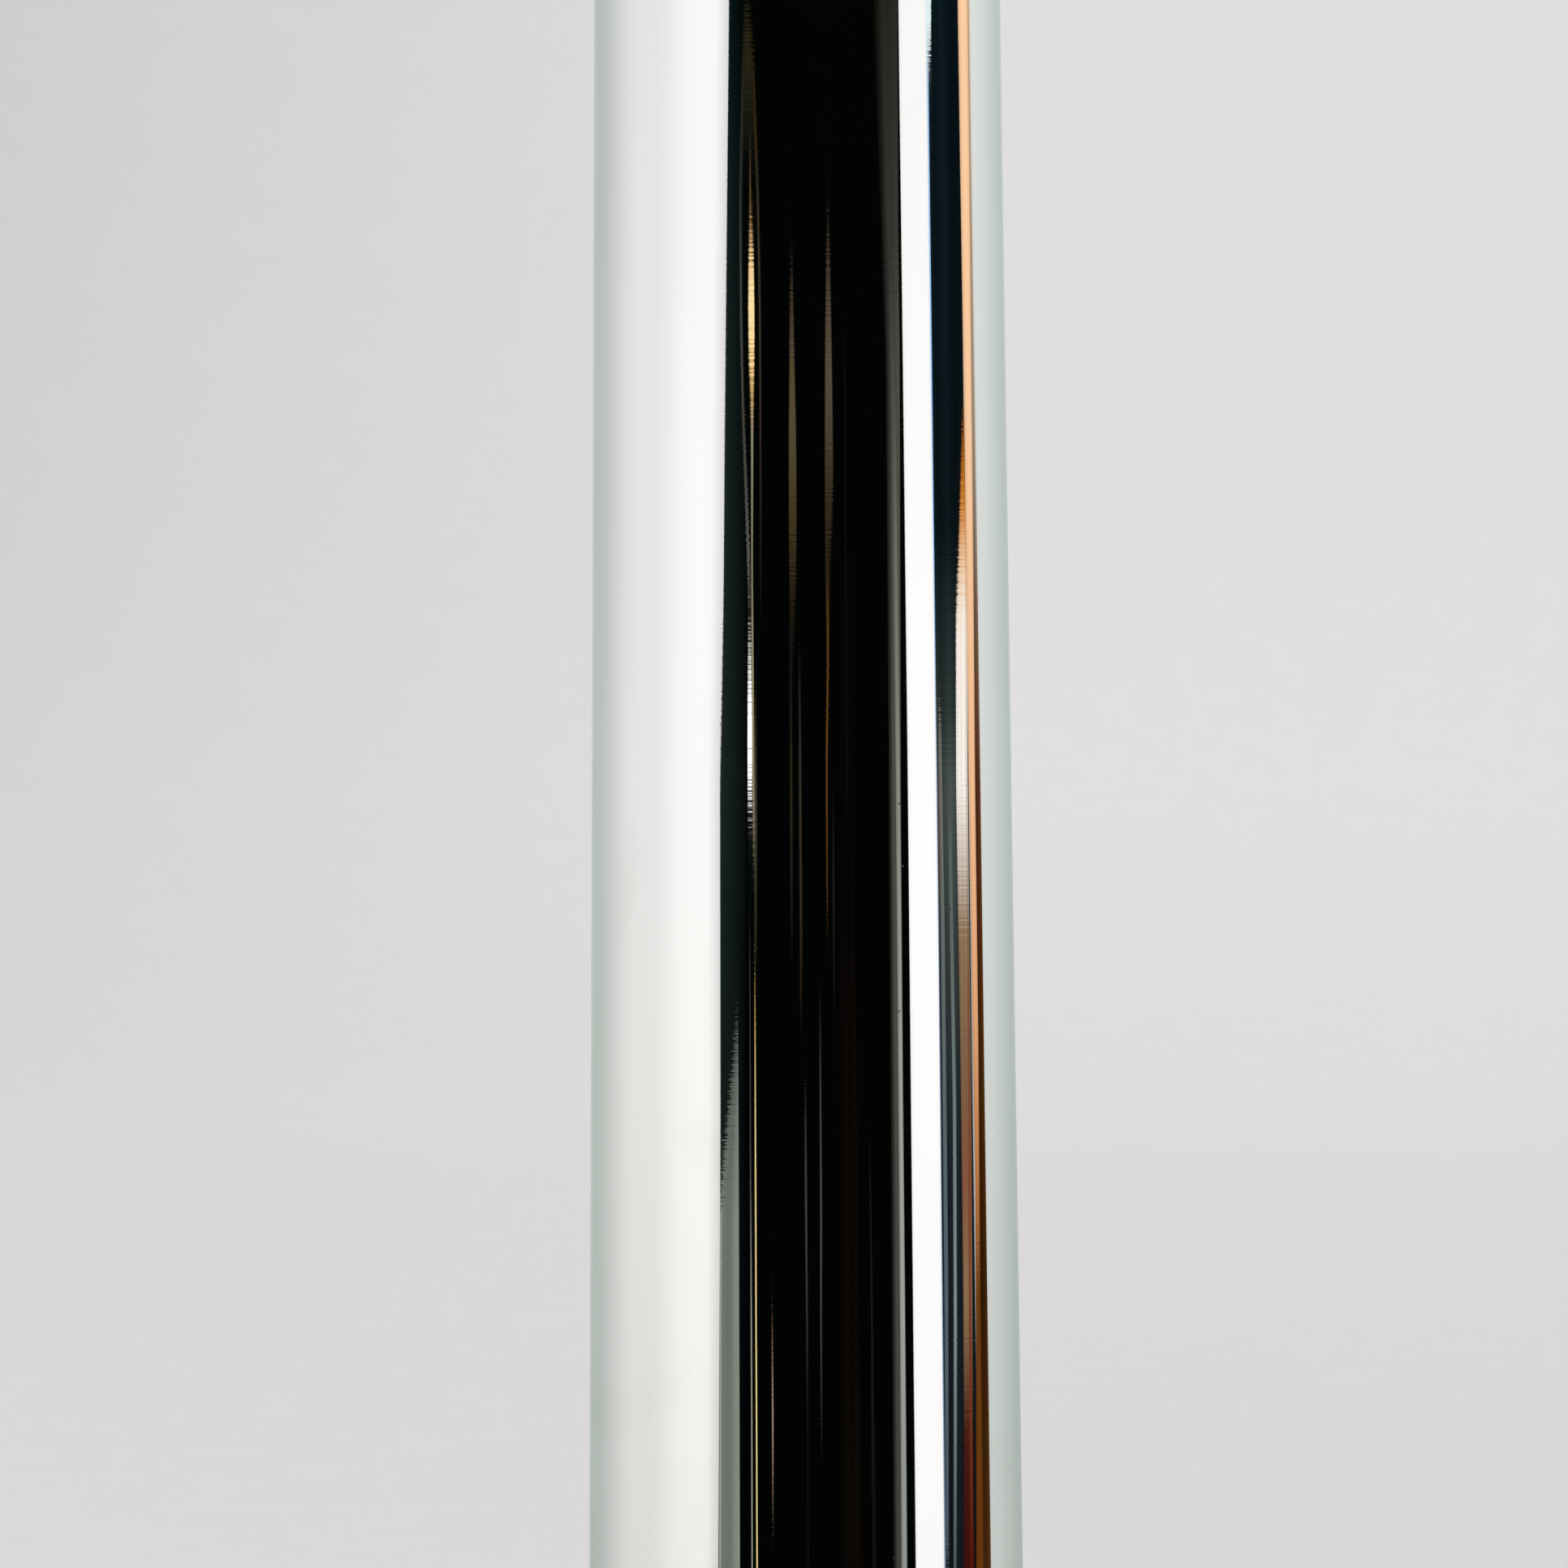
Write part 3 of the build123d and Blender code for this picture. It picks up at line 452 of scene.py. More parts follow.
def makeThinCards():
    # grey sheet low on the left
    card("greySheet",
         [(0.04, -46, -34.6, "6E736B"), (0.14, -45, -34.6, "6C716A"), (0.18, -37, -34.7, "5A5F59"),
          (0.19, -35.5, -34.8, "30342F")], onFloor=True,
         across=[(0, 2.4), (0.05, 1.5), (0.12, 1.05), (0.4, 0.92), (0.6, 1.02), (0.75, 1.35), (1, 1.5)])
    # tripod: two legs from one head, hazy where they meet
    card("tripodHead",
         [(0.425, -30, -24.4, "0A0B08"), (0.44, -30.5, -23.8, "1A1A12"), (0.46, -30, -26, "2A281B"),
          (0.468, -29.4, -28.6, "14140E")],
         across=[(0, 0.6), (0.2, 1.0), (0.5, 0.85), (0.8, 1.1), (1, 0.6)])
    card("tripodLegLeft",
         [(0.31, -28.3, -27.1, "62665F"), (0.355, -31.3, -30.2, "47453D"),
          (0.38, -32.4, -31.3, "444641"), (0.415, -32.7, -31.4, "2C2E29"), (0.45, -31, -29.3, "1F2217"),
          (0.465, -29.6, -28.7, "14160F")])
    card("tripodLegRight",
         [(0.305, -22, -21.2, "14120D"), (0.35, -21.8, -20.8, "2E2621"),
          (0.385, -21.9, -20.8, "3A3327"), (0.415, -22.8, -21.7, "342E23"),
          (0.45, -25.3, -24, "31270D"), (0.465, -28.4, -27.4, "2A220E")])
    # brass lamp with its cord and wire, and a white tube below it
    card("brassLamp",
         [(0.36, -26.2, -25.3, "A87C44"), (0.37, -27.2, -24.7, "EEC47E"),
          (0.38, -27.8, -24.3, "FFE4AC"), (0.395, -27.5, -24.6, "FCDCA0"),
          (0.406, -26.6, -25.9, "B06E3C")])
    card("lampCord",
         [(0.236, -26.2, -25.3, "20221C"), (0.25, -26.3, -25.2, "8B8268"),
          (0.29, -26.5, -25.6, "958D71"), (0.315, -26.7, -25.8, "79735A"),
          (0.36, -26.4, -25.2, "928B78")])
    card("lampWire", [(0.405, -26.8, -26.1, "6A5434"), (0.44, -26.8, -26.3, "14100A")])
    card("whiteTube",
         [(0.255, -29, -26.6, "FFFFFF"), (0.275, -28.9, -26.5, "F4F6F4"), (0.295, -28.4, -27, "60605A")],
         strength=2.4)
    # rails and a wire low down
    card("oliveRail",
         [(0.21, -25.7, -24.4, "201F18"), (0.25, -25.2, -24, "3E3B2E"), (0.28, -25, -24.1, "1A1812")])
    card("brassRail",
         [(0.04, -25.75, -25.15, "DFC98A"), (0.155, -25.8, -25.2, "EBCF92"),
          (0.19, -25.8, -25.2, "A88C50"), (0.205, -25.8, -25.3, "33291A")], onFloor=True, strength=2.2)
    card("steelWire",
         [(0.04, -28.3, -27.8, "94948C"), (0.11, -28.3, -27.7, "8A8A80"),
          (0.15, -28.5, -27.9, "3A3E3A"), (0.215, -28.4, -28, "282A27")], onFloor=True, strength=2.2)
    # warm wooden posts seen through the dark
    card("brownPost",
         [(0.215, -6.2, -5.4, "1A1711"), (0.25, -6.2, -5, "2C271E"), (0.285, -6.2, -5.1, "13140F"),
          (0.305, -5.9, -3.2, "1A1610"), (0.325, -6.1, -2.1, "3D301D"), (0.35, -5.9, -2, "524733"),
          (0.365, -5.4, -2.6, "574834"), (0.385, -4.9, -3.2, "40352B"), (0.396, -4.6, -3.3, "14110D")])
    card("rustPost",
         [(0.195, -1.6, -0.9, "1E1710"), (0.215, -1.5, -0.2, "2F2619"), (0.26, -1.5, -0.3, "353028"),
          (0.29, -1.4, -0.5, "131412")])
    card("amberPost",
         [(0.22, 12.7, 13.3, "3A2812"), (0.245, 12.8, 13.5, "5E3E1E"), (0.265, 12.9, 13.7, "65451F"),
          (0.29, 13.9, 14.8, "5A4020"), (0.315, 13.2, 15.5, "1E180D"), (0.34, 13.4, 17.9, "3A3022"),
          (0.365, 13.8, 17.6, "564A3A"), (0.385, 14.5, 17.2, "4C4236"), (0.41, 15.4, 16.4, "100D0A")])
    # faint wires, a frame, a panel and a strip of green glass
    card("wire",
         [(0.195, 16, 16.5, "101110"), (0.225, 16.1, 16.8, "232523"), (0.25, 16.3, 16.9, "151716")])
    card("faintWire", [(0.25, 23.7, 24.5, "0D0F0B"), (0.375, 24.2, 25, "0E100C")])
    card("frameLeft",
         [(0.04, 0.7, 1.2, "101111"), (0.085, 0.8, 1.3, "141513"), (0.115, 0.6, 1.5, "30322F"),
          (0.145, 0.4, 1.4, "40423F"), (0.17, 0.5, 1.3, "242623")], onFloor=True)
    card("frameRight",
         [(0.08, 7.9, 8.5, "1A1B19"), (0.115, 8, 8.7, "484A42"), (0.14, 8.3, 9.2, "484A45"),
          (0.175, 8.4, 9.2, "3A3C38"), (0.195, 8.6, 9.2, "1C1D1B")])
    card("amberDot",
         [(0.06, -17.3, -16.9, "5A4A3A"), (0.085, -17.3, -16.6, "B09080"),
          (0.11, -17.2, -16.8, "5A4434")])
    card("faintPanel",
         [(0.07, 18.7, 28.9, "0C0805"), (0.17, 18.7, 28.9, "0A0705"), (0.315, 20.2, 27.9, "040403")],
         onFloor=True, back=0.01,
         across=[(0, 0.6), (0.4, 1.2), (0.5, 0.5), (0.8, 1.3), (1, 0.4)])
    card("greenGlass",
         [(0.06, 34.2, 36.6, "0E100F"), (0.11, 34.8, 35.8, "181E1B"), (0.155, 34.2, 35.4, "0D0F0E")],
         onFloor=True,
         across=[(0, 0.5), (0.5, 1.2), (1, 0.5)])
    # grey curtain at the right of the velvet, with a brighter fold near its edge
    card("greyCurtain",
         [(0.04, 46, 52.6, "3A3B38"), (0.16, 46.9, 54, "40413C"), (0.255, 47.5, 54.6, "42443E"),
          (0.37, 48.1, 56.6, "3E3E39"), (0.4, 46.3, 56.4, "30302C"), (0.47, 42, 57.4, "20201C"),
          (0.8, 41.5, 57.4, "20201C")], onFloor=True,
         across=[(0, 0.1), (0.2, 0.5), (0.38, 1.3), (0.6, 1.1), (0.85, 1.5), (1, 1.3)])
    card("curtainFold",
         [(0.04, 50.4, 53.7, "8E958E"), (0.11, 51, 54, "9CA29B"), (0.18, 51.4, 54, "9DA098"),
          (0.255, 51.6, 54.2, "8A8B81"), (0.35, 51, 54, "55564E"), (0.4, 49.4, 51.6, "30302C")],
         onFloor=True, back=-0.01,
         across=[(0, 0.5), (0.4, 1.0), (0.9, 1.0), (1, 0.8)])
    # cold lines and warm wood inside the dark side of the room
    card("coldLine",
         [(0.035, 83.2, 85, "4A5A5A"), (0.105, 85.5, 87.7, "7A8A86"), (0.165, 86.7, 89.1, "6A7876"),
          (0.24, 85.7, 88.1, "505C5A")], onFloor=True, back=0.01)
    card("coldBand",
         [(0.04, 77.7, 79.9, "4A5560"), (0.115, 79.1, 81.8, "4E5E6A"), (0.21, 79.7, 82.2, "606A6A"),
          (0.27, 79.3, 81.3, "6A7270")], back=0.01)
    card("doorLight",
         [(0.035, 90.4, 98.7, "3C120C"), (0.075, 92, 99.3, "481A12"), (0.11, 92.8, 100, "8E7151"),
          (0.145, 92.9, 101, "86553E"), (0.175, 92.9, 101.5, "7D644B"), (0.21, 92.5, 101.4, "8E7254"),
          (0.25, 92.1, 101.6, "FAF2EA"), (0.295, 93.5, 102.9, "FAF0E4"), (0.31, 96.2, 103, "F0C8A0"),
          (0.325, 98, 103, "D2822C"), (0.35, 101.1, 102.9, "6A3A0C")], onFloor=True,
         across=[(0, 0.75), (0.25, 1.0), (0.5, 0.85), (0.7, 1.1), (0.85, 0.7), (1, 0.8)])
    card("redTrim",
         [(0.035, 95.4, 98.3, "4E1208"), (0.115, 97.2, 99, "7A4028"), (0.2, 99.3, 100.5, "7E4A34")],
         onFloor=True, back=-0.01)
    card("orangeSpark",
         [(0.22, 79.3, 80.1, "6A4A34"), (0.25, 79.4, 80.3, "7A5C48"), (0.275, 79.4, 80.1, "54402E")],
         back=-0.01)


def makeSky(s):
    # even light for the matt surfaces; the polished ones see a ceiling that darkens upwards
    world = bpy.data.worlds.new("studioSky")
    bpy.context.scene.world = world
    world.use_nodes = True
    tree = world.node_tree
    tree.nodes.clear()
    place = addNode(tree, "TexCoord")
    split = addNode(tree, "SeparateXYZ", links={"Vector": place.outputs["Generated"]})
    ceiling = addNode(tree, "ValToRGB", links={"Fac": split.outputs["Z"]})
    fillRamp(ceiling, [(0, 0.80), (0.45, 0.74), (0.75, 0.30), (0.9, 0.16), (1, 0.12)])
    rays = addNode(tree, "LightPath")
    even = addNode(tree, "Background", {"Color": (1, 1, 1, 1), "Strength": s["skyStrength"]})
    mirrored = addNode(tree, "Background", {"Strength": 1.0}, {"Color": ceiling.outputs["Color"]})
    mixed = addNode(tree, "MixShader",
                    links={0: rays.outputs["Is Glossy Ray"], 1: even.outputs["Background"],
                           2: mirrored.outputs["Background"]})
    addNode(tree, "OutputWorld", links={"Surface": mixed.outputs["Shader"]})


def makeOverhead(s):
    # round soft light above the stand, bright in the middle and fading to its rim
    deselectAll()
    middle = Vector(s["overheadPlace"])
    bpy.ops.mesh.primitive_circle_add(vertices=96, radius=s["overheadRadius"], fill_type="TRIFAN",
                                      location=middle)
    bpy.ops.object.transform_apply(location=True, rotation=True, scale=True)
    light = bpy.context.object
    light.name = "overheadLight"
    glow = light.data.attributes.new("glow", "FLOAT_COLOR", "POINT")
    for v in light.data.vertices:
        level = s["overheadGlow"][0 if (v.co - middle).length < 0.1 else 1]
        glow.data[v.index].color = (level, level, level, 1)
    placeCard(light)


def makeKeyLight(s):
    # soft light from the left for the matt pieces and the floor shadow
    lamp = bpy.data.lights.new("softKey", "AREA")
    lamp.shape = "DISK"
    lamp.size = s["keySize"]
    lamp.energy = s["keyPower"]
    key = bpy.data.objects.new("softKey", lamp)
    bpy.context.scene.collection.objects.link(key)
    key.location = s["keyPlace"]
    aim = Vector(s["keyAim"]) - Vector(s["keyPlace"])
    key.rotation_euler = aim.to_track_quat("-Z", "Y").to_euler()
    key.visible_glossy = False


studioCard = cardMaterial()
makeCove(studio)
makeSky(studio)
makeWideCards(studio)
makeThinCards()
makeOverhead(studio)
makeKeyLight(studio)
print("studio ready")


def profileLine(tree, place, stretch=1 / 60):
    # Coordinates for marks that a lathe leaves: rings round Z that follow the turned profile
    split = addNode(tree, "SeparateXYZ", links={"Vector": place})
    x, y, z = (split.outputs[axis] for axis in "XYZ")
    squareX = addNode(tree, "Math", {"operation": "MULTIPLY"}, {0: x, 1: x})
    squareY = addNode(tree, "Math", {"operation": "MULTIPLY"}, {0: y, 1: y})
    squares = addNode(tree, "Math", {"operation": "ADD"}, {0: squareX.outputs[0], 1: squareY.outputs[0]})
    radius = addNode(tree, "Math", {"operation": "SQRT"}, {0: squares.outputs[0]})
    along = addNode(tree, "Math", {"operation": "SUBTRACT"}, {0: z, 1: radius.outputs[0]})
    sideX = addNode(tree, "Math", {"operation": "MULTIPLY", 1: stretch}, {0: x})
    sideY = addNode(tree, "Math", {"operation": "MULTIPLY", 1: stretch}, {0: y})
    rings = addNode(tree, "CombineXYZ",
                    links={"X": sideX.outputs[0], "Y": sideY.outputs[0], "Z": along.outputs[0]})
    return rings.outputs["Vector"]


def polishedMetal(name, s):
    # Mirror metal with a trace of how it was polished: fine rings that fray the ends of reflections,
    # a few pits that catch light, and faint wiped smudges
    material, tree, place = newFinish(name)
    rings = profileLine(tree, place)
    lines = addNode(tree, "TexNoise",
                    {"Scale": 1 / (s["lineSpacing"] * mm), "Detail": 2.0, "Roughness": 0.65},
                    {"Vector": rings})
    lineBump = addNode(tree, "Bump", {"Strength": 1.0, "Distance": s["lineDepth"] * mm},
                       {"Height": lines.outputs["Fac"]})
    swell = addNode(tree, "TexNoise", {"Scale": 1 / (s["waveLength"] * mm), "Detail": 1.0},
                    {"Vector": place})
    swellBump = addNode(tree, "Bump", {"Strength": 1.0, "Distance": s["waveDepth"] * mm},
                        {"Height": swell.outputs["Fac"], "Normal": lineBump.outputs["Normal"]})
    grit = addNode(tree, "TexVoronoi", {"Scale": 1 / (s["pitSpacing"] * mm)}, {"Vector": place})
    pits = addNode(tree, "MapRange", {"From Min": 0.0, "From Max": s["pitSize"] / s["pitSpacing"],
                                      "To Min": 1.0, "To Max": 0.0}, {"Value": grit.outputs["Distance"]})
    pitBump = addNode(tree, "Bump", {"Strength": 1.0, "Distance": s["pitDepth"] * mm},
                      {"Height": pits.outputs["Result"], "Normal": swellBump.outputs["Normal"]})
    smudge = addNode(tree, "TexNoise", {"Scale": 1 / (28 * mm), "Detail": 4.0, "Distortion": 0.6},
                     {"Vector": place})
    haze = addNode(tree, "MapRange", {"From Min": 0.55, "From Max": 0.8, "To Min": s["roughness"],
                                      "To Max": s["smudgeRoughness"]}, {"Value": smudge.outputs["Fac"]})
    tone = addNode(tree, "ValToRGB", links={"Fac": smudge.outputs["Fac"]})
    fillRamp(tone, [(0.60, s["colour"]), (0.78, s["smudgeColour"])])
    tangent = addNode(tree, "Tangent", {"direction_type": "RADIAL", "axis": "Z"})
    metal = addNode(tree, "BsdfPrincipled",
                    {"Metallic": 1.0, "Specular Tint": linearColour(s["edge"]),
                     "Anisotropic": s["anisotropy"], "Anisotropic Rotation": 0.25},
                    {"Base Color": tone.outputs["Color"], "Normal": pitBump.outputs["Normal"],
                     "Roughness": haze.outputs["Result"], "Tangent": tangent.outputs["Tangent"]})
    return surfaced(material, metal)


# Stainless tube and sheet, mopped to a mirror: a neutral grey that greens a little at the edges.
# Real polishing lines are finer; they are drawn as coarse as they need to be to show.
stainlessSettings = {
    "colour": "C6C5C4", "smudgeColour": "BFBEBC", "edge": "F4F9F7",
    "roughness": 0.028, "smudgeRoughness": 0.05, "anisotropy": 0.6,
    "lineSpacing": 0.42, "lineDepth": 0.0028, "waveLength": 26, "waveDepth": 0.010,
    "pitSpacing": 4.2, "pitSize": 0.16, "pitDepth": 0.004,
}
# Bright chrome plate over turned and buffed brass: a shade bluer, with shallower polishing lines
chromeSettings = {
    "colour": "C9CBCD", "smudgeColour": "C1C3C4", "edge": "F2F8FA",
    "roughness": 0.03, "smudgeRoughness": 0.055, "anisotropy": 0.3,
    "lineSpacing": 0.7, "lineDepth": 0.002, "waveLength": 14, "waveDepth": 0.006,
    "pitSpacing": 5.0, "pitSize": 0.14, "pitDepth": 0.003,
}


def mouldedPhenolic():
    # Compression-moulded phenolic resin, tumbled to a polish: deep black, glossy, faintly rippled,
    # rubbed dull in use
    material, tree, place = newFinish("mouldedPhenolic")
    flow = addNode(tree, "TexNoise", {"Scale": 1 / (5 * mm), "Detail": 3.0, "Distortion": 1.2},
                   {"Vector": place})
    tone = addNode(tree, "ValToRGB", links={"Fac": flow.outputs["Fac"]})
    fillRamp(tone, [(0.3, "060606"), (0.7, "0C0B0B")])
    ripple = addNode(tree, "TexNoise", {"Scale": 1 / (1.6 * mm), "Detail": 1.0}, {"Vector": place})
    skin = addNode(tree, "Bump", {"Strength": 1.0, "Distance": 0.006 * mm},
                   {"Height": ripple.outputs["Fac"]})
    rub = addNode(tree, "TexNoise", {"Scale": 1 / (9 * mm), "Detail": 5.0, "Roughness": 0.7},
                  {"Vector": place})
    wear = addNode(tree, "MapRange", {"From Min": 0.4, "From Max": 0.75, "To Min": 0.10, "To Max": 0.26},
                   {"Value": rub.outputs["Fac"]})
    resin = addNode(tree, "BsdfPrincipled", {"IOR": 1.6},
                    {"Base Color": tone.outputs["Color"], "Roughness": wear.outputs["Result"],
                     "Normal": skin.outputs["Normal"]})
    return surfaced(material, resin)


def turnedBrass():
    # Free-cutting brass, turned and left bare: warm yellow with tool rings and a little brown tarnish
    material, tree, place = newFinish("turnedBrass")
    tarnish = addNode(tree, "TexNoise", {"Scale": 1 / (4 * mm), "Detail": 4.0}, {"Vector": place})
    tone = addNode(tree, "ValToRGB", links={"Fac": tarnish.outputs["Fac"]})
    fillRamp(tone, [(0.35, "DDBB74"), (0.6, "D2AC5F"), (0.8, "A9813F")])
    tool = addNode(tree, "TexWave", {"bands_direction": "X", "Scale": 1 / (0.9 * mm), "Distortion": 0.4,
                                     "Detail": 1.0}, {"Vector": place})
    rings = addNode(tree, "Bump", {"Strength": 0.6, "Distance": 0.006 * mm},
                    {"Height": tool.outputs["Fac"]})
    brass = addNode(tree, "BsdfPrincipled", {"Metallic": 1.0, "Roughness": 0.24},
                    {"Base Color": tone.outputs["Color"], "Normal": rings.outputs["Normal"]})
    return surfaced(material, brass)


def turnedNylon(name, dark, light, roughness):
    # Cast nylon turned to size: satin and a little waxy, with fine tool rings and soft scuffs
    material, tree, place = newFinish(name)
    rings = profileLine(tree, place)
    tool = addNode(tree, "TexNoise", {"Scale": 1 / (0.35 * mm), "Detail": 2.0}, {"Vector": rings})
    cut = addNode(tree, "Bump", {"Strength": 1.0, "Distance": 0.010 * mm},
                  {"Height": tool.outputs["Fac"]})
    scuffs = addNode(tree, "TexNoise", {"Scale": 1 / (7 * mm), "Detail": 6.0, "Roughness": 0.7},
                     {"Vector": place})
    tone = addNode(tree, "ValToRGB", links={"Fac": scuffs.outputs["Fac"]})
    fillRamp(tone, [(0.35, dark), (0.75, light)])
    sheen = addNode(tree, "MapRange", {"From Min": 0.35, "From Max": 0.75, "To Min": roughness - 0.06,
                                       "To Max": roughness + 0.1}, {"Value": scuffs.outputs["Fac"]})
    nylon = addNode(tree, "BsdfPrincipled", {"IOR": 1.53},
                    {"Base Color": tone.outputs["Color"], "Roughness": sheen.outputs["Result"],
                     "Normal": cut.outputs["Normal"]})
    return surfaced(material, nylon)


def mouldedRubber():
    # Moulded nitrile rubber: matt near-black with a fine spark-eroded grain and a bloom of pale dust
    material, tree, place = newFinish("mouldedRubber")
    grain = addNode(tree, "TexNoise", {"Scale": 1 / (0.4 * mm), "Detail": 3.0}, {"Vector": place})
    skin = addNode(tree, "Bump", {"Strength": 1.0, "Distance": 0.03 * mm},
                   {"Height": grain.outputs["Fac"]})
    bloom = addNode(tree, "TexNoise", {"Scale": 1 / (6 * mm), "Detail": 6.0, "Roughness": 0.75},
                    {"Vector": place})
    tone = addNode(tree, "ValToRGB", links={"Fac": bloom.outputs["Fac"]})
    fillRamp(tone, [(0.4, "161617"), (0.62, "1E1E1F"), (0.85, "363635")])
    rubber = addNode(tree, "BsdfPrincipled", {"IOR": 1.52, "Roughness": 0.72, "Specular IOR Level": 0.35},
                     {"Base Color": tone.outputs["Color"], "Normal": skin.outputs["Normal"]})
    return surfaced(material, rubber)


def platedSteel(name, stops, roughness, grainSize):
    # Barrel-plated steel: a crystalline bloom of slightly different tints over small tumbling dents
    material, tree, place = newFinish(name)
    bloom = addNode(tree, "TexNoise", {"Scale": 1 / (3 * mm), "Detail": 5.0, "Roughness": 0.6},
                    {"Vector": place})
    tone = addNode(tree, "ValToRGB", links={"Fac": bloom.outputs["Fac"]})
    fillRamp(tone, stops)
    dents = addNode(tree, "TexVoronoi", {"Scale": 1 / (grainSize * mm)}, {"Vector": place})
    skin = addNode(tree, "Bump", {"Strength": 0.5, "Distance": 0.01 * mm},
                   {"Height": dents.outputs["Distance"]})
    steel = addNode(tree, "BsdfPrincipled", {"Metallic": 1.0, "Roughness": roughness},
                    {"Base Color": tone.outputs["Color"], "Normal": skin.outputs["Normal"]})
    return surfaced(material, steel)


def powderCoat():
    # Polyester powder baked on steel: even black with a fine orange peel
    material, tree, place = newFinish("blackPowderCoat")
    peel = addNode(tree, "TexNoise", {"Scale": 1 / (0.8 * mm), "Detail": 2.0}, {"Vector": place})
    skin = addNode(tree, "Bump", {"Strength": 1.0, "Distance": 0.05 * mm},
                   {"Height": peel.outputs["Fac"]})
    patch = addNode(tree, "TexNoise", {"Scale": 1 / (25 * mm), "Detail": 3.0}, {"Vector": place})
    tone = addNode(tree, "ValToRGB", links={"Fac": patch.outputs["Fac"]})
    fillRamp(tone, [(0.3, "111112"), (0.7, "171718")])
    coat = addNode(tree, "BsdfPrincipled", {"IOR": 1.5, "Roughness": 0.48},
                   {"Base Color": tone.outputs["Color"], "Normal": skin.outputs["Normal"]})
    return surfaced(material, coat)


def drawnAluminium():
    # Drawn aluminium tube as it left the die: dull silver with long lines down it and a grey oxide bloom
    material, tree, place = newFinish("drawnAluminium")
    pulled = addNode(tree, "Mapping", {"vector_type": "POINT", "Scale": (1, 1, 1 / 80)},
                     {"Vector": place})
    lines = addNode(tree, "TexNoise", {"Scale": 1 / (0.5 * mm), "Detail": 3.0},
                    {"Vector": pulled.outputs["Vector"]})
    skin = addNode(tree, "Bump", {"Strength": 1.0, "Distance": 0.012 * mm},
                   {"Height": lines.outputs["Fac"]})
    bloom = addNode(tree, "TexNoise", {"Scale": 1 / (12 * mm), "Detail": 5.0}, {"Vector": place})
    tone = addNode(tree, "ValToRGB", links={"Fac": bloom.outputs["Fac"]})
    fillRamp(tone, [(0.3, "D2D4D5"), (0.7, "BEC0C2")])
    metal = addNode(tree, "BsdfPrincipled", {"Metallic": 1.0, "Roughness": 0.34},
                    {"Base Color": tone.outputs["Color"], "Normal": skin.outputs["Normal"]})
    return surfaced(material, metal)


def primedCasting():
    # Sand-cast grey iron dipped in primer: coarse sand texture filled by flat grey paint, rust at the
    # thin spots
    material, tree, place = newFinish("primedCasting")
    sand = addNode(tree, "TexNoise", {"Scale": 1 / (1.5 * mm), "Detail": 6.0, "Roughness": 0.7},
                   {"Vector": place})
    skin = addNode(tree, "Bump", {"Strength": 1.0, "Distance": 0.25 * mm},
                   {"Height": sand.outputs["Fac"]})
    patch = addNode(tree, "TexNoise", {"Scale": 1 / (18 * mm), "Detail": 6.0, "Roughness": 0.65},
                    {"Vector": place})
    tone = addNode(tree, "ValToRGB", links={"Fac": patch.outputs["Fac"]})
    fillRamp(tone, [(0.3, "4A4D50"), (0.66, "54575A"), (0.74, "6B4A35")])
    paint = addNode(tree, "BsdfPrincipled", {"IOR": 1.5, "Roughness": 0.7},
                    {"Base Color": tone.outputs["Color"], "Normal": skin.outputs["Normal"]})
    return surfaced(material, paint)


finishes = {
    "polished_stainless": polishedMetal("mirrorPolishedStainless", stainlessSettings),
    "bright_chrome": polishedMetal("brightChromePlate", chromeSettings),
    "black_phenolic": mouldedPhenolic(),
    "brass": turnedBrass(),
    "black_nylon": turnedNylon("blackNylon", "0F0F10", "1C1C1D", 0.36),
    "natural_nylon": turnedNylon("naturalNylon", "DDD7C6", "E8E3D6", 0.4),
    "moulded_rubber": mouldedRubber(),
    "zinc_plated_steel": platedSteel("zincPlatedSteel", [(0.3, "C6CBD0"), (0.6, "D0D2CE"), (0.8, "CFC6B0")],
                                     0.27, 0.9),
    "blackened_steel": platedSteel("oilBlackenedSteel", [(0.3, "26272A"), (0.7, "34353A")], 0.36, 0.7),
    "black_powder_coat": powderCoat(),
    "mill_aluminium": drawnAluminium(),
    "cast_iron_primed": primedCasting(),
}
for part in frame["record"]["subparts"]:
    setMaterial(frame["nodes"][part["node"]], finishes[part["material_slot"]])
print("finishes ready")

columnSettings = {
    "middleHeight": 240,
    "middleRadius": 25.85,
    "taper": 0.0088,
    "wall": 2.0,
}


def columnRadius(height):
    s = columnSettings
    return s["middleRadius"] + s["taper"] * (s["middleHeight"] - height)


def makeColumn(s):
    low, high = columnLow.z / mm, columnHigh.z / mm
    levels = [low + (high - low) * k / 12 for k in range(13)]
    outside = [(columnRadius(z), z) for z in levels]
    inside = [(columnRadius(z) - s["wall"], z) for z in (high, low)]
    column = turned("columnTube", outside + inside, steps=288)
    finishPiece(column, "column", "polished_stainless", "stand")


makeColumn(columnSettings)
print("column ready")

coverSettings = {
    "wall": 1.5,
    "hem": 168,
    "rim": 180,
    "bottom": 7,
    "rimTop": 21,
    "ledge": 169,
    "riser": 45,           # slope in degrees of the step up from the rim
    "shoulderRadius": 24,
    "shoulderTurn": 44,
    "crown": 46,
    "top": 49.5,
    "hole": 12,
    "dowelHole": 2.52,
    "dowelPlace": -33,
    "dowelCut": (46, 51),
}


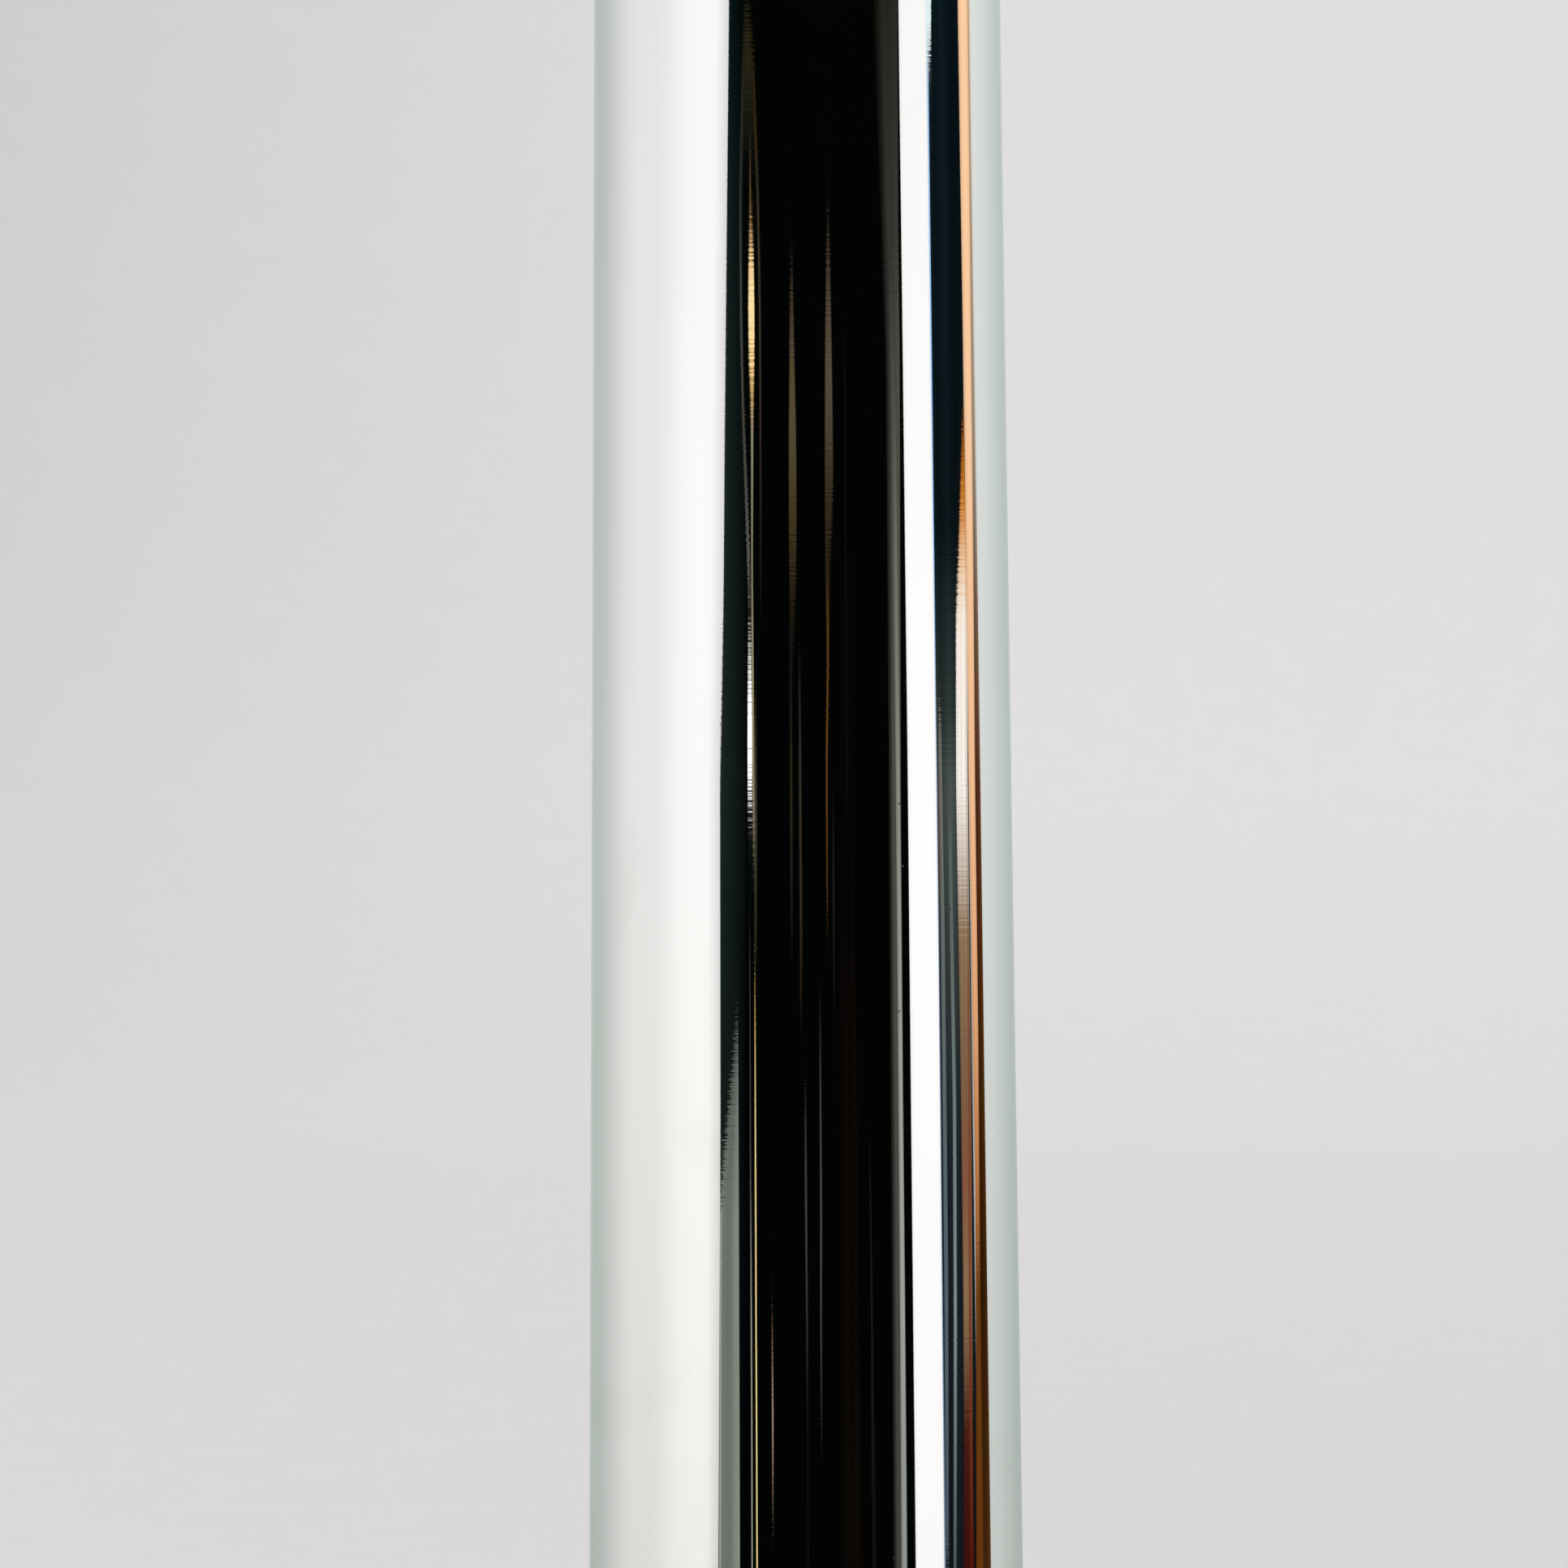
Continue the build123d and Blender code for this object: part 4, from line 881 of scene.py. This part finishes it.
def makeCover(s):
    rim = rounded([(s["hem"], s["bottom"]), (s["rim"], s["bottom"], 2.5), (s["rim"], s["rimTop"], 4),
                   (s["ledge"], s["rimTop"], 1.5), (s["ledge"] - 3, s["rimTop"] + 3)])
    # shoulder: an arc that carries on from the riser, then a shallow hollow sweep up to the crown
    reach = s["shoulderRadius"]
    slope = radians(s["riser"])
    middle = rim[-1] - Vector((cos(slope), sin(slope))) * reach
    shoulder = arc(middle, reach, s["riser"], s["riser"] + s["shoulderTurn"], 34)
    lean = slope + radians(s["shoulderTurn"])
    outwards = Vector((cos(lean), sin(lean)))
    chord = Vector((s["crown"], s["top"])) - shoulder[-1]
    sweepRadius = chord.length_squared / (2 * chord.dot(outwards))
    sweepMiddle = shoulder[-1] + outwards * sweepRadius
    ending = Vector((s["crown"], s["top"])) - sweepMiddle
    startAngle = degrees(lean) + 180
    endAngle = degrees(atan2(ending.y, ending.x)) + 360
    sweep = arc(sweepMiddle, sweepRadius, startAngle, endAngle, 36)
    outside = rim + shoulder[1:] + sweep[1:] + [Vector((s["hole"], s["top"]))]
    inside = inset(outside, s["wall"])
    inside[0].x, inside[-1].x = s["hem"], s["hole"]
    cover = turned("spunCover", outside + inside[::-1], steps=300)
    combine(cover, upright(s["dowelHole"], *s["dowelCut"], s["dowelPlace"]), "DIFFERENCE")
    finishPiece(cover, "base_cover", "polished_stainless", "stand")


makeCover(coverSettings)
print("cover ready")

footSettings = {
    "count": 6,
    "circle": 150,
    "radius": 17,
    "height": 5,
    "grooves": [8.0, 12.0],  # start radius of each moulded groove underneath
    "grooveWidth": 1.5,
    "grooveDepth": 0.6,
    "grooveDraft": 0.3,
    "recess": 5.5,           # for the screw's head
    "recessDepth": 3,
    "screwHole": 2.8,
}


def makeFeet(s):
    sole = [(s["recess"], s["recessDepth"]), (s["recess"], 0)]
    depth, draft = s["grooveDepth"], s["grooveDraft"]
    for start in s["grooves"]:
        end = start + s["grooveWidth"]
        sole += [(start, 0), (start + draft, depth), (end - draft, depth), (end, 0)]
    rim = [(s["radius"], 0, 1.5), (s["radius"], s["height"], 0.4), (s["screwHole"], s["height"]),
           (s["screwHole"], s["recessDepth"])]
    first = turned("rubberFeet", rounded(sole + rim), steps=72)
    feet = [first]
    for k in range(1, s["count"]):
        activate(first)
        bpy.ops.object.duplicate()
        feet.append(bpy.context.object)
    for k, foot in enumerate(feet):
        a = 2 * pi * k / s["count"]
        activate(foot)
        foot.location = (s["circle"] * cos(a) * mm, s["circle"] * sin(a) * mm, 0)
        bpy.ops.object.transform_apply(location=True, rotation=False, scale=False)
    feet = joined(feet, "rubberFeet")
    smooth(feet)
    finishPiece(feet, "rubber_feet", "moulded_rubber", "stand")


makeFeet(footSettings)
print("feet ready")

collarSettings = {
    "bottom": 50.5,
    "radius": 44,
    "plinthTop": 54.5,
    "cavetto": 8.5,
    "neck": 33,
    "beadMiddle": 68,
    "bead": 3,
    "cove": 2,
    "lip": 29.5,
    "top": 74.5,
    "ledge": 55.5,
    "inner": 20,
    "dowelHole": 2.52,
    "dowelPlace": -33,
    "dowelCut": (49, 54),
}


def makeCollar(s):
    bore = columnRadius(s["ledge"]) + 0.05
    plinth = rounded([(s["inner"], s["bottom"]), (s["radius"], s["bottom"], 0.8),
                      (s["radius"], s["plinthTop"], 1.5), (s["neck"] + s["cavetto"], s["plinthTop"])])
    cavetto = arc((s["neck"] + s["cavetto"], s["plinthTop"] + s["cavetto"]), s["cavetto"], 270, 180, 28)
    bead = arc((s["neck"], s["beadMiddle"]), s["bead"], -90, 90, 26)
    coveMiddle = (s["lip"] + s["cove"], s["beadMiddle"] + s["bead"] + s["cove"])
    cove = arc(coveMiddle, s["cove"], 270, 180, 12)
    lip = rounded([cove[-1], (s["lip"], s["top"], 0.4), (bore, s["top"])])
    inside = [Vector((bore, s["ledge"])), Vector((s["inner"], s["ledge"]))]
    collar = turned("footCollar", plinth + cavetto[1:] + bead + cove + lip[1:] + inside, steps=256)
    combine(collar, upright(s["dowelHole"], *s["dowelCut"], s["dowelPlace"]), "DIFFERENCE")
    finishPiece(collar, "foot_collar", "bright_chrome", "stand")


makeCollar(collarSettings)
print("collar ready")

headSettings = {
    "bottom": 393,
    "top": 451,
    "bead": 33,
    "beadHeight": 7,
    "barrel": 30.5,
    "slope": 2.5,
    "seatRadius": 22.5,
    "seat": 444,
    "bore": 20.75,
    "columnEnd": 409,
    "bossHeight": 428,
    "boss": 9,
    "bossStart": 27,
    "bossEnd": 37,
    "bossFillet": 1.8,
    "thread": 5,
    "pocket": 6.2,
    "pocketEnd": 26,
    "screwHeight": 404,
    "screwHole": 3,
    "screwAngles": [60, 180, 300],
}


def makeHead(s):
    counterbore = columnRadius(s["bottom"]) + 0.05
    bead, barrel = s["bead"], s["barrel"]
    lowBead, highBead = s["bottom"] + s["beadHeight"], s["top"] - s["beadHeight"]
    outside = rounded([(counterbore, s["bottom"]), (bead, s["bottom"], 3), (bead, lowBead, 2.5),
                       (barrel, lowBead + s["slope"], 2.5), (barrel, highBead - s["slope"], 2.5),
                       (bead, highBead, 2.5), (bead, s["top"], 3), (s["seatRadius"] + 0.5, s["top"]),
                       (s["seatRadius"], s["top"] - 0.5)])
    inside = [Vector(p) for p in ((s["seatRadius"], s["seat"]), (s["bore"], s["seat"]),
                                  (s["bore"], s["columnEnd"]), (counterbore, s["columnEnd"]))]
    head = turned("socketHead", divided(outside, 1.2) + inside, steps=288)
    # boss for the hand screw: turned about the screw's line, its flared foot laid onto the round barrel
    fillet = s["bossFillet"]
    flare = arc((barrel + fillet, s["boss"] + fillet), fillet, 180, 270, 10)
    inner = [Vector((s["bossStart"], 0)), Vector((s["bossStart"], s["boss"] + fillet))]
    last = s["bossEnd"]
    end = [Vector(p) for p in ((last - 1, s["boss"]), (last, s["boss"] - 1), (last, 0))]
    boss = turned("boss", inner + flare + end, steps=96, alongX=True, height=s["bossHeight"] * mm,
                  closed=False)
    for v in boss.data.vertices:
        if v.co.x < (barrel + fillet + 0.1) * mm:
            v.co.x -= barrel * mm - sqrt((barrel * mm) ** 2 - v.co.y ** 2)
    combine(head, boss, "UNION")
    # cutters for the holes run past the wall at both ends
    combine(head, rod(s["thread"], 15, 40, s["bossHeight"]), "DIFFERENCE")
    combine(head, rod(s["pocket"], 10, s["pocketEnd"], s["bossHeight"]), "DIFFERENCE")
    for azimuth in s["screwAngles"]:
        combine(head, rod(s["screwHole"], 20, 36, s["screwHeight"], azimuth, 48), "DIFFERENCE")
    smooth(head)
    finishPiece(head, "socket_head", "bright_chrome", "stand")


makeHead(headSettings)
print("head ready")

mouthSettings = {
    "bushSeat": 444, "bushFlange": 451, "bushTop": 453.5,
    "bushBore": 19.25, "bushSpigot": 22.45, "bushRim": 25.5,
    "sleeveBottom": 335, "sleeveTop": 456.5,
    "sleeveBore": 16.2, "sleeveRadius": 18.95, "sleeveRim": 24,
    "slotWidth": 13, "slotTop": 436, "slotReach": 25,
}


def makeBush(s):
    bush = turned("mouthBush", rounded([
        (s["bushBore"], s["bushSeat"]), (s["bushSpigot"], s["bushSeat"], 0.3),
        (s["bushSpigot"], s["bushFlange"], 0.2), (s["bushRim"], s["bushFlange"], 0.6),
        (s["bushRim"], s["bushTop"], 1.2), (s["bushBore"], s["bushTop"])]))
    finishPiece(bush, "mouth_bush", "black_nylon", "stand")


def makeSleeve(s):
    sleeve = turned("reducingSleeve", divided(rounded([
        (s["sleeveBore"], s["sleeveBottom"]), (s["sleeveRadius"], s["sleeveBottom"], 0.6),
        (s["sleeveRadius"], s["bushTop"], 0.3), (s["sleeveRim"], s["bushTop"], 0.6),
        (s["sleeveRim"], s["sleeveTop"], 1.2), (s["sleeveBore"], s["sleeveTop"], 1),
        (s["sleeveBore"], s["slotTop"])]), 6), steps=160)
    # the slot: a long block and a round top, both only on the hand screw's side
    half = s["slotWidth"] / 2
    roundTop = s["slotTop"] - half
    bottom = s["sleeveBottom"] - 2
    deselectAll()
    reach = s["slotReach"]
    bpy.ops.mesh.primitive_cube_add(size=1, location=(reach / 2 * mm, 0, (roundTop + bottom) / 2 * mm),
                                    scale=(reach * mm, s["slotWidth"] * mm, (roundTop - bottom) * mm))
    bpy.ops.object.transform_apply(location=True, rotation=True, scale=True)
    combine(sleeve, bpy.context.object, "DIFFERENCE")
    combine(sleeve, rod(half, 0.1, reach, roundTop), "DIFFERENCE")
    smooth(sleeve)
    finishPiece(sleeve, "reducing_sleeve", "black_nylon", "reducing_sleeve")


makeBush(mouthSettings)
makeSleeve(mouthSettings)
print("mouth ready")

knobSettings = {
    "height": 428,
    "back": 44,         # places along the screw's line, then radii
    "hubEnd": 50.4,
    "gripStart": 54,
    "boreEnd": 60,
    "gripEnd": 61,
    "domeStart": 63.5,
    "front": 66,
    "bore": 6.5,
    "hub": 10,
    "blank": 18.5,
    "dome": 13,
    "lobes": 7,
    "grip": 18,
    "flute": 6,
    "fluteCircle": 22,
    "blend": 0.9,       # how softly flutes run into lobes
    "grubPlace": 47,
    "grubHole": 2,
}


def softMin(a, b, blend):
    overlap = max(blend - abs(a - b), 0) / blend
    return min(a, b) - overlap * overlap * blend / 4


def starRadius(angle, s):
    # distance to the edge of a circle with round flutes cut into it
    turn = 2 * pi / s["lobes"]
    off = (angle + turn / 2) % turn - turn / 2
    across = s["flute"] ** 2 - (s["fluteCircle"] * sin(off)) ** 2
    if across <= 0:
        return s["grip"]
    return softMin(s["grip"], s["fluteCircle"] * cos(off) - sqrt(across), s["blend"])


def makeKnob(s):
    outline = rounded([
        (s["boreEnd"], 0), (s["boreEnd"], s["bore"]), (s["back"], s["bore"]), (s["back"], s["hub"], 0.8),
        (s["hubEnd"], s["hub"], 0.9), (s["gripStart"], s["blank"], 3), (s["gripEnd"], s["blank"], 4),
        (s["domeStart"], s["dome"], 9), (s["front"], 0)], finest=0.3)
    knob = turned("starKnob", divided(outline, 1.2), steps=s["lobes"] * 24, alongX=True,
                  height=s["height"] * mm, closed=False)
    # the turned blank is fluted: its radius is held inside the star, softened along the edges
    for v in knob.data.vertices:
        y, z = v.co.y / mm, v.co.z / mm - s["height"]
        radius = hypot(y, z)
        if radius > s["hub"] + 0.5:
            star = starRadius(atan2(z, y) - pi / 2, s)
            share = softMin(star, radius, s["blend"]) / radius
            v.co.y, v.co.z = y * share * mm, (z * share + s["height"]) * mm
    combine(knob, upright(s["grubHole"], s["height"] + 2, s["height"] + 20, s["grubPlace"], 0, 32),
            "DIFFERENCE")
    smooth(knob, 40)
    finishPiece(knob, "clamp_knob", "black_phenolic", "clamp_screw")


makeKnob(knobSettings)
print("knob ready")

screwSettings = {
    "height": 428,
    "pitch": 1.5,
    "crest": 4.95,
    "root": 4.03,
    "threadStart": 25.3,
    "threadEnd": 44,
    "tip": 22.5,
    "spigot": 2.97,
    "groove": 2.25,     # for the pad's circlip
    "grooveStart": 23.4,
    "grooveEnd": 24.3,
    "shankStart": 26,
    "shank": 4,
    "end": 59.5,
    "chamfer": 0.3,
}


def makeScrew(s):
    # one pitch of the thread's outline, wound along X
    eighth = s["pitch"] / 8
    profile = [(0, s["root"]), (eighth, s["root"]), (3.5 * eighth, s["crest"]), (4.5 * eighth, s["crest"]),
               (7 * eighth, s["root"]), (8 * eighth, s["root"])]
    start = s["threadStart"] - 2 * s["pitch"]
    screw = drawn("handScrew", [Vector((start + x, radius, 0)) * mm for x, radius in profile])
    bpy.ops.object.mode_set(mode="OBJECT")
    wind = screw.modifiers.new("wind", "SCREW")
    wind.axis = "X"
    wind.screw_offset = s["pitch"] * mm
    wind.iterations = ceil((s["threadEnd"] - start) / s["pitch"]) + 2
    wind.steps = wind.render_steps = 48
    wind.use_merge_vertices = True
    wind.merge_threshold = 1e-6
    activate(screw)
    bpy.ops.object.modifier_apply(modifier=wind.name)
    # both ends are cut square and closed
    bpy.ops.object.mode_set(mode="EDIT")
    bpy.ops.mesh.select_all(action="SELECT")
    bpy.ops.mesh.remove_doubles(threshold=1e-6)
    for place, side in ((s["threadStart"], -1), (s["threadEnd"], 1)):
        bpy.ops.mesh.bisect(plane_co=(place * mm, 0, 0), plane_no=(side, 0, 0), use_fill=True,
                            clear_outer=True)
        bpy.ops.mesh.select_all(action="SELECT")
    bpy.ops.mesh.normals_make_consistent(inside=False)
    bpy.ops.transform.translate(value=(0, 0, s["height"] * mm))
    bpy.ops.object.mode_set(mode="OBJECT")
    height = s["height"] * mm
    first, last, crest = s["threadStart"], s["threadEnd"], s["crest"]
    # the envelope chamfers the thread's ends
    envelope = [(first - 1, 0), (first - 1, 0.5), (first, crest - 0.95), (first + 1, crest + 0.05),
                (last - 1, crest + 0.05), (last + 1, 3), (last + 1, 0)]
    envelope = turned("envelope", envelope, steps=64, alongX=True, height=height, closed=False)
    combine(screw, envelope, "INTERSECT")
    spigot, groove, chamfer = s["spigot"], s["groove"], s["chamfer"]
    core = [(s["tip"], 0), (s["tip"], spigot - chamfer), (s["tip"] + chamfer, spigot),
            (s["grooveStart"], spigot), (s["grooveStart"], groove), (s["grooveEnd"], groove),
            (s["grooveEnd"], spigot), (s["shankStart"], spigot), (s["shankStart"], s["shank"]),
            (s["end"] - chamfer, s["shank"]), (s["end"], s["shank"] - chamfer), (s["end"], 0)]
    core = turned("core", core, steps=64, alongX=True, height=height, closed=False)
    combine(screw, core, "UNION")
    smooth(screw)
    finishPiece(screw, "clamp_screw", "bright_chrome", "clamp_screw")


makeScrew(screwSettings)
print("hand screw ready")
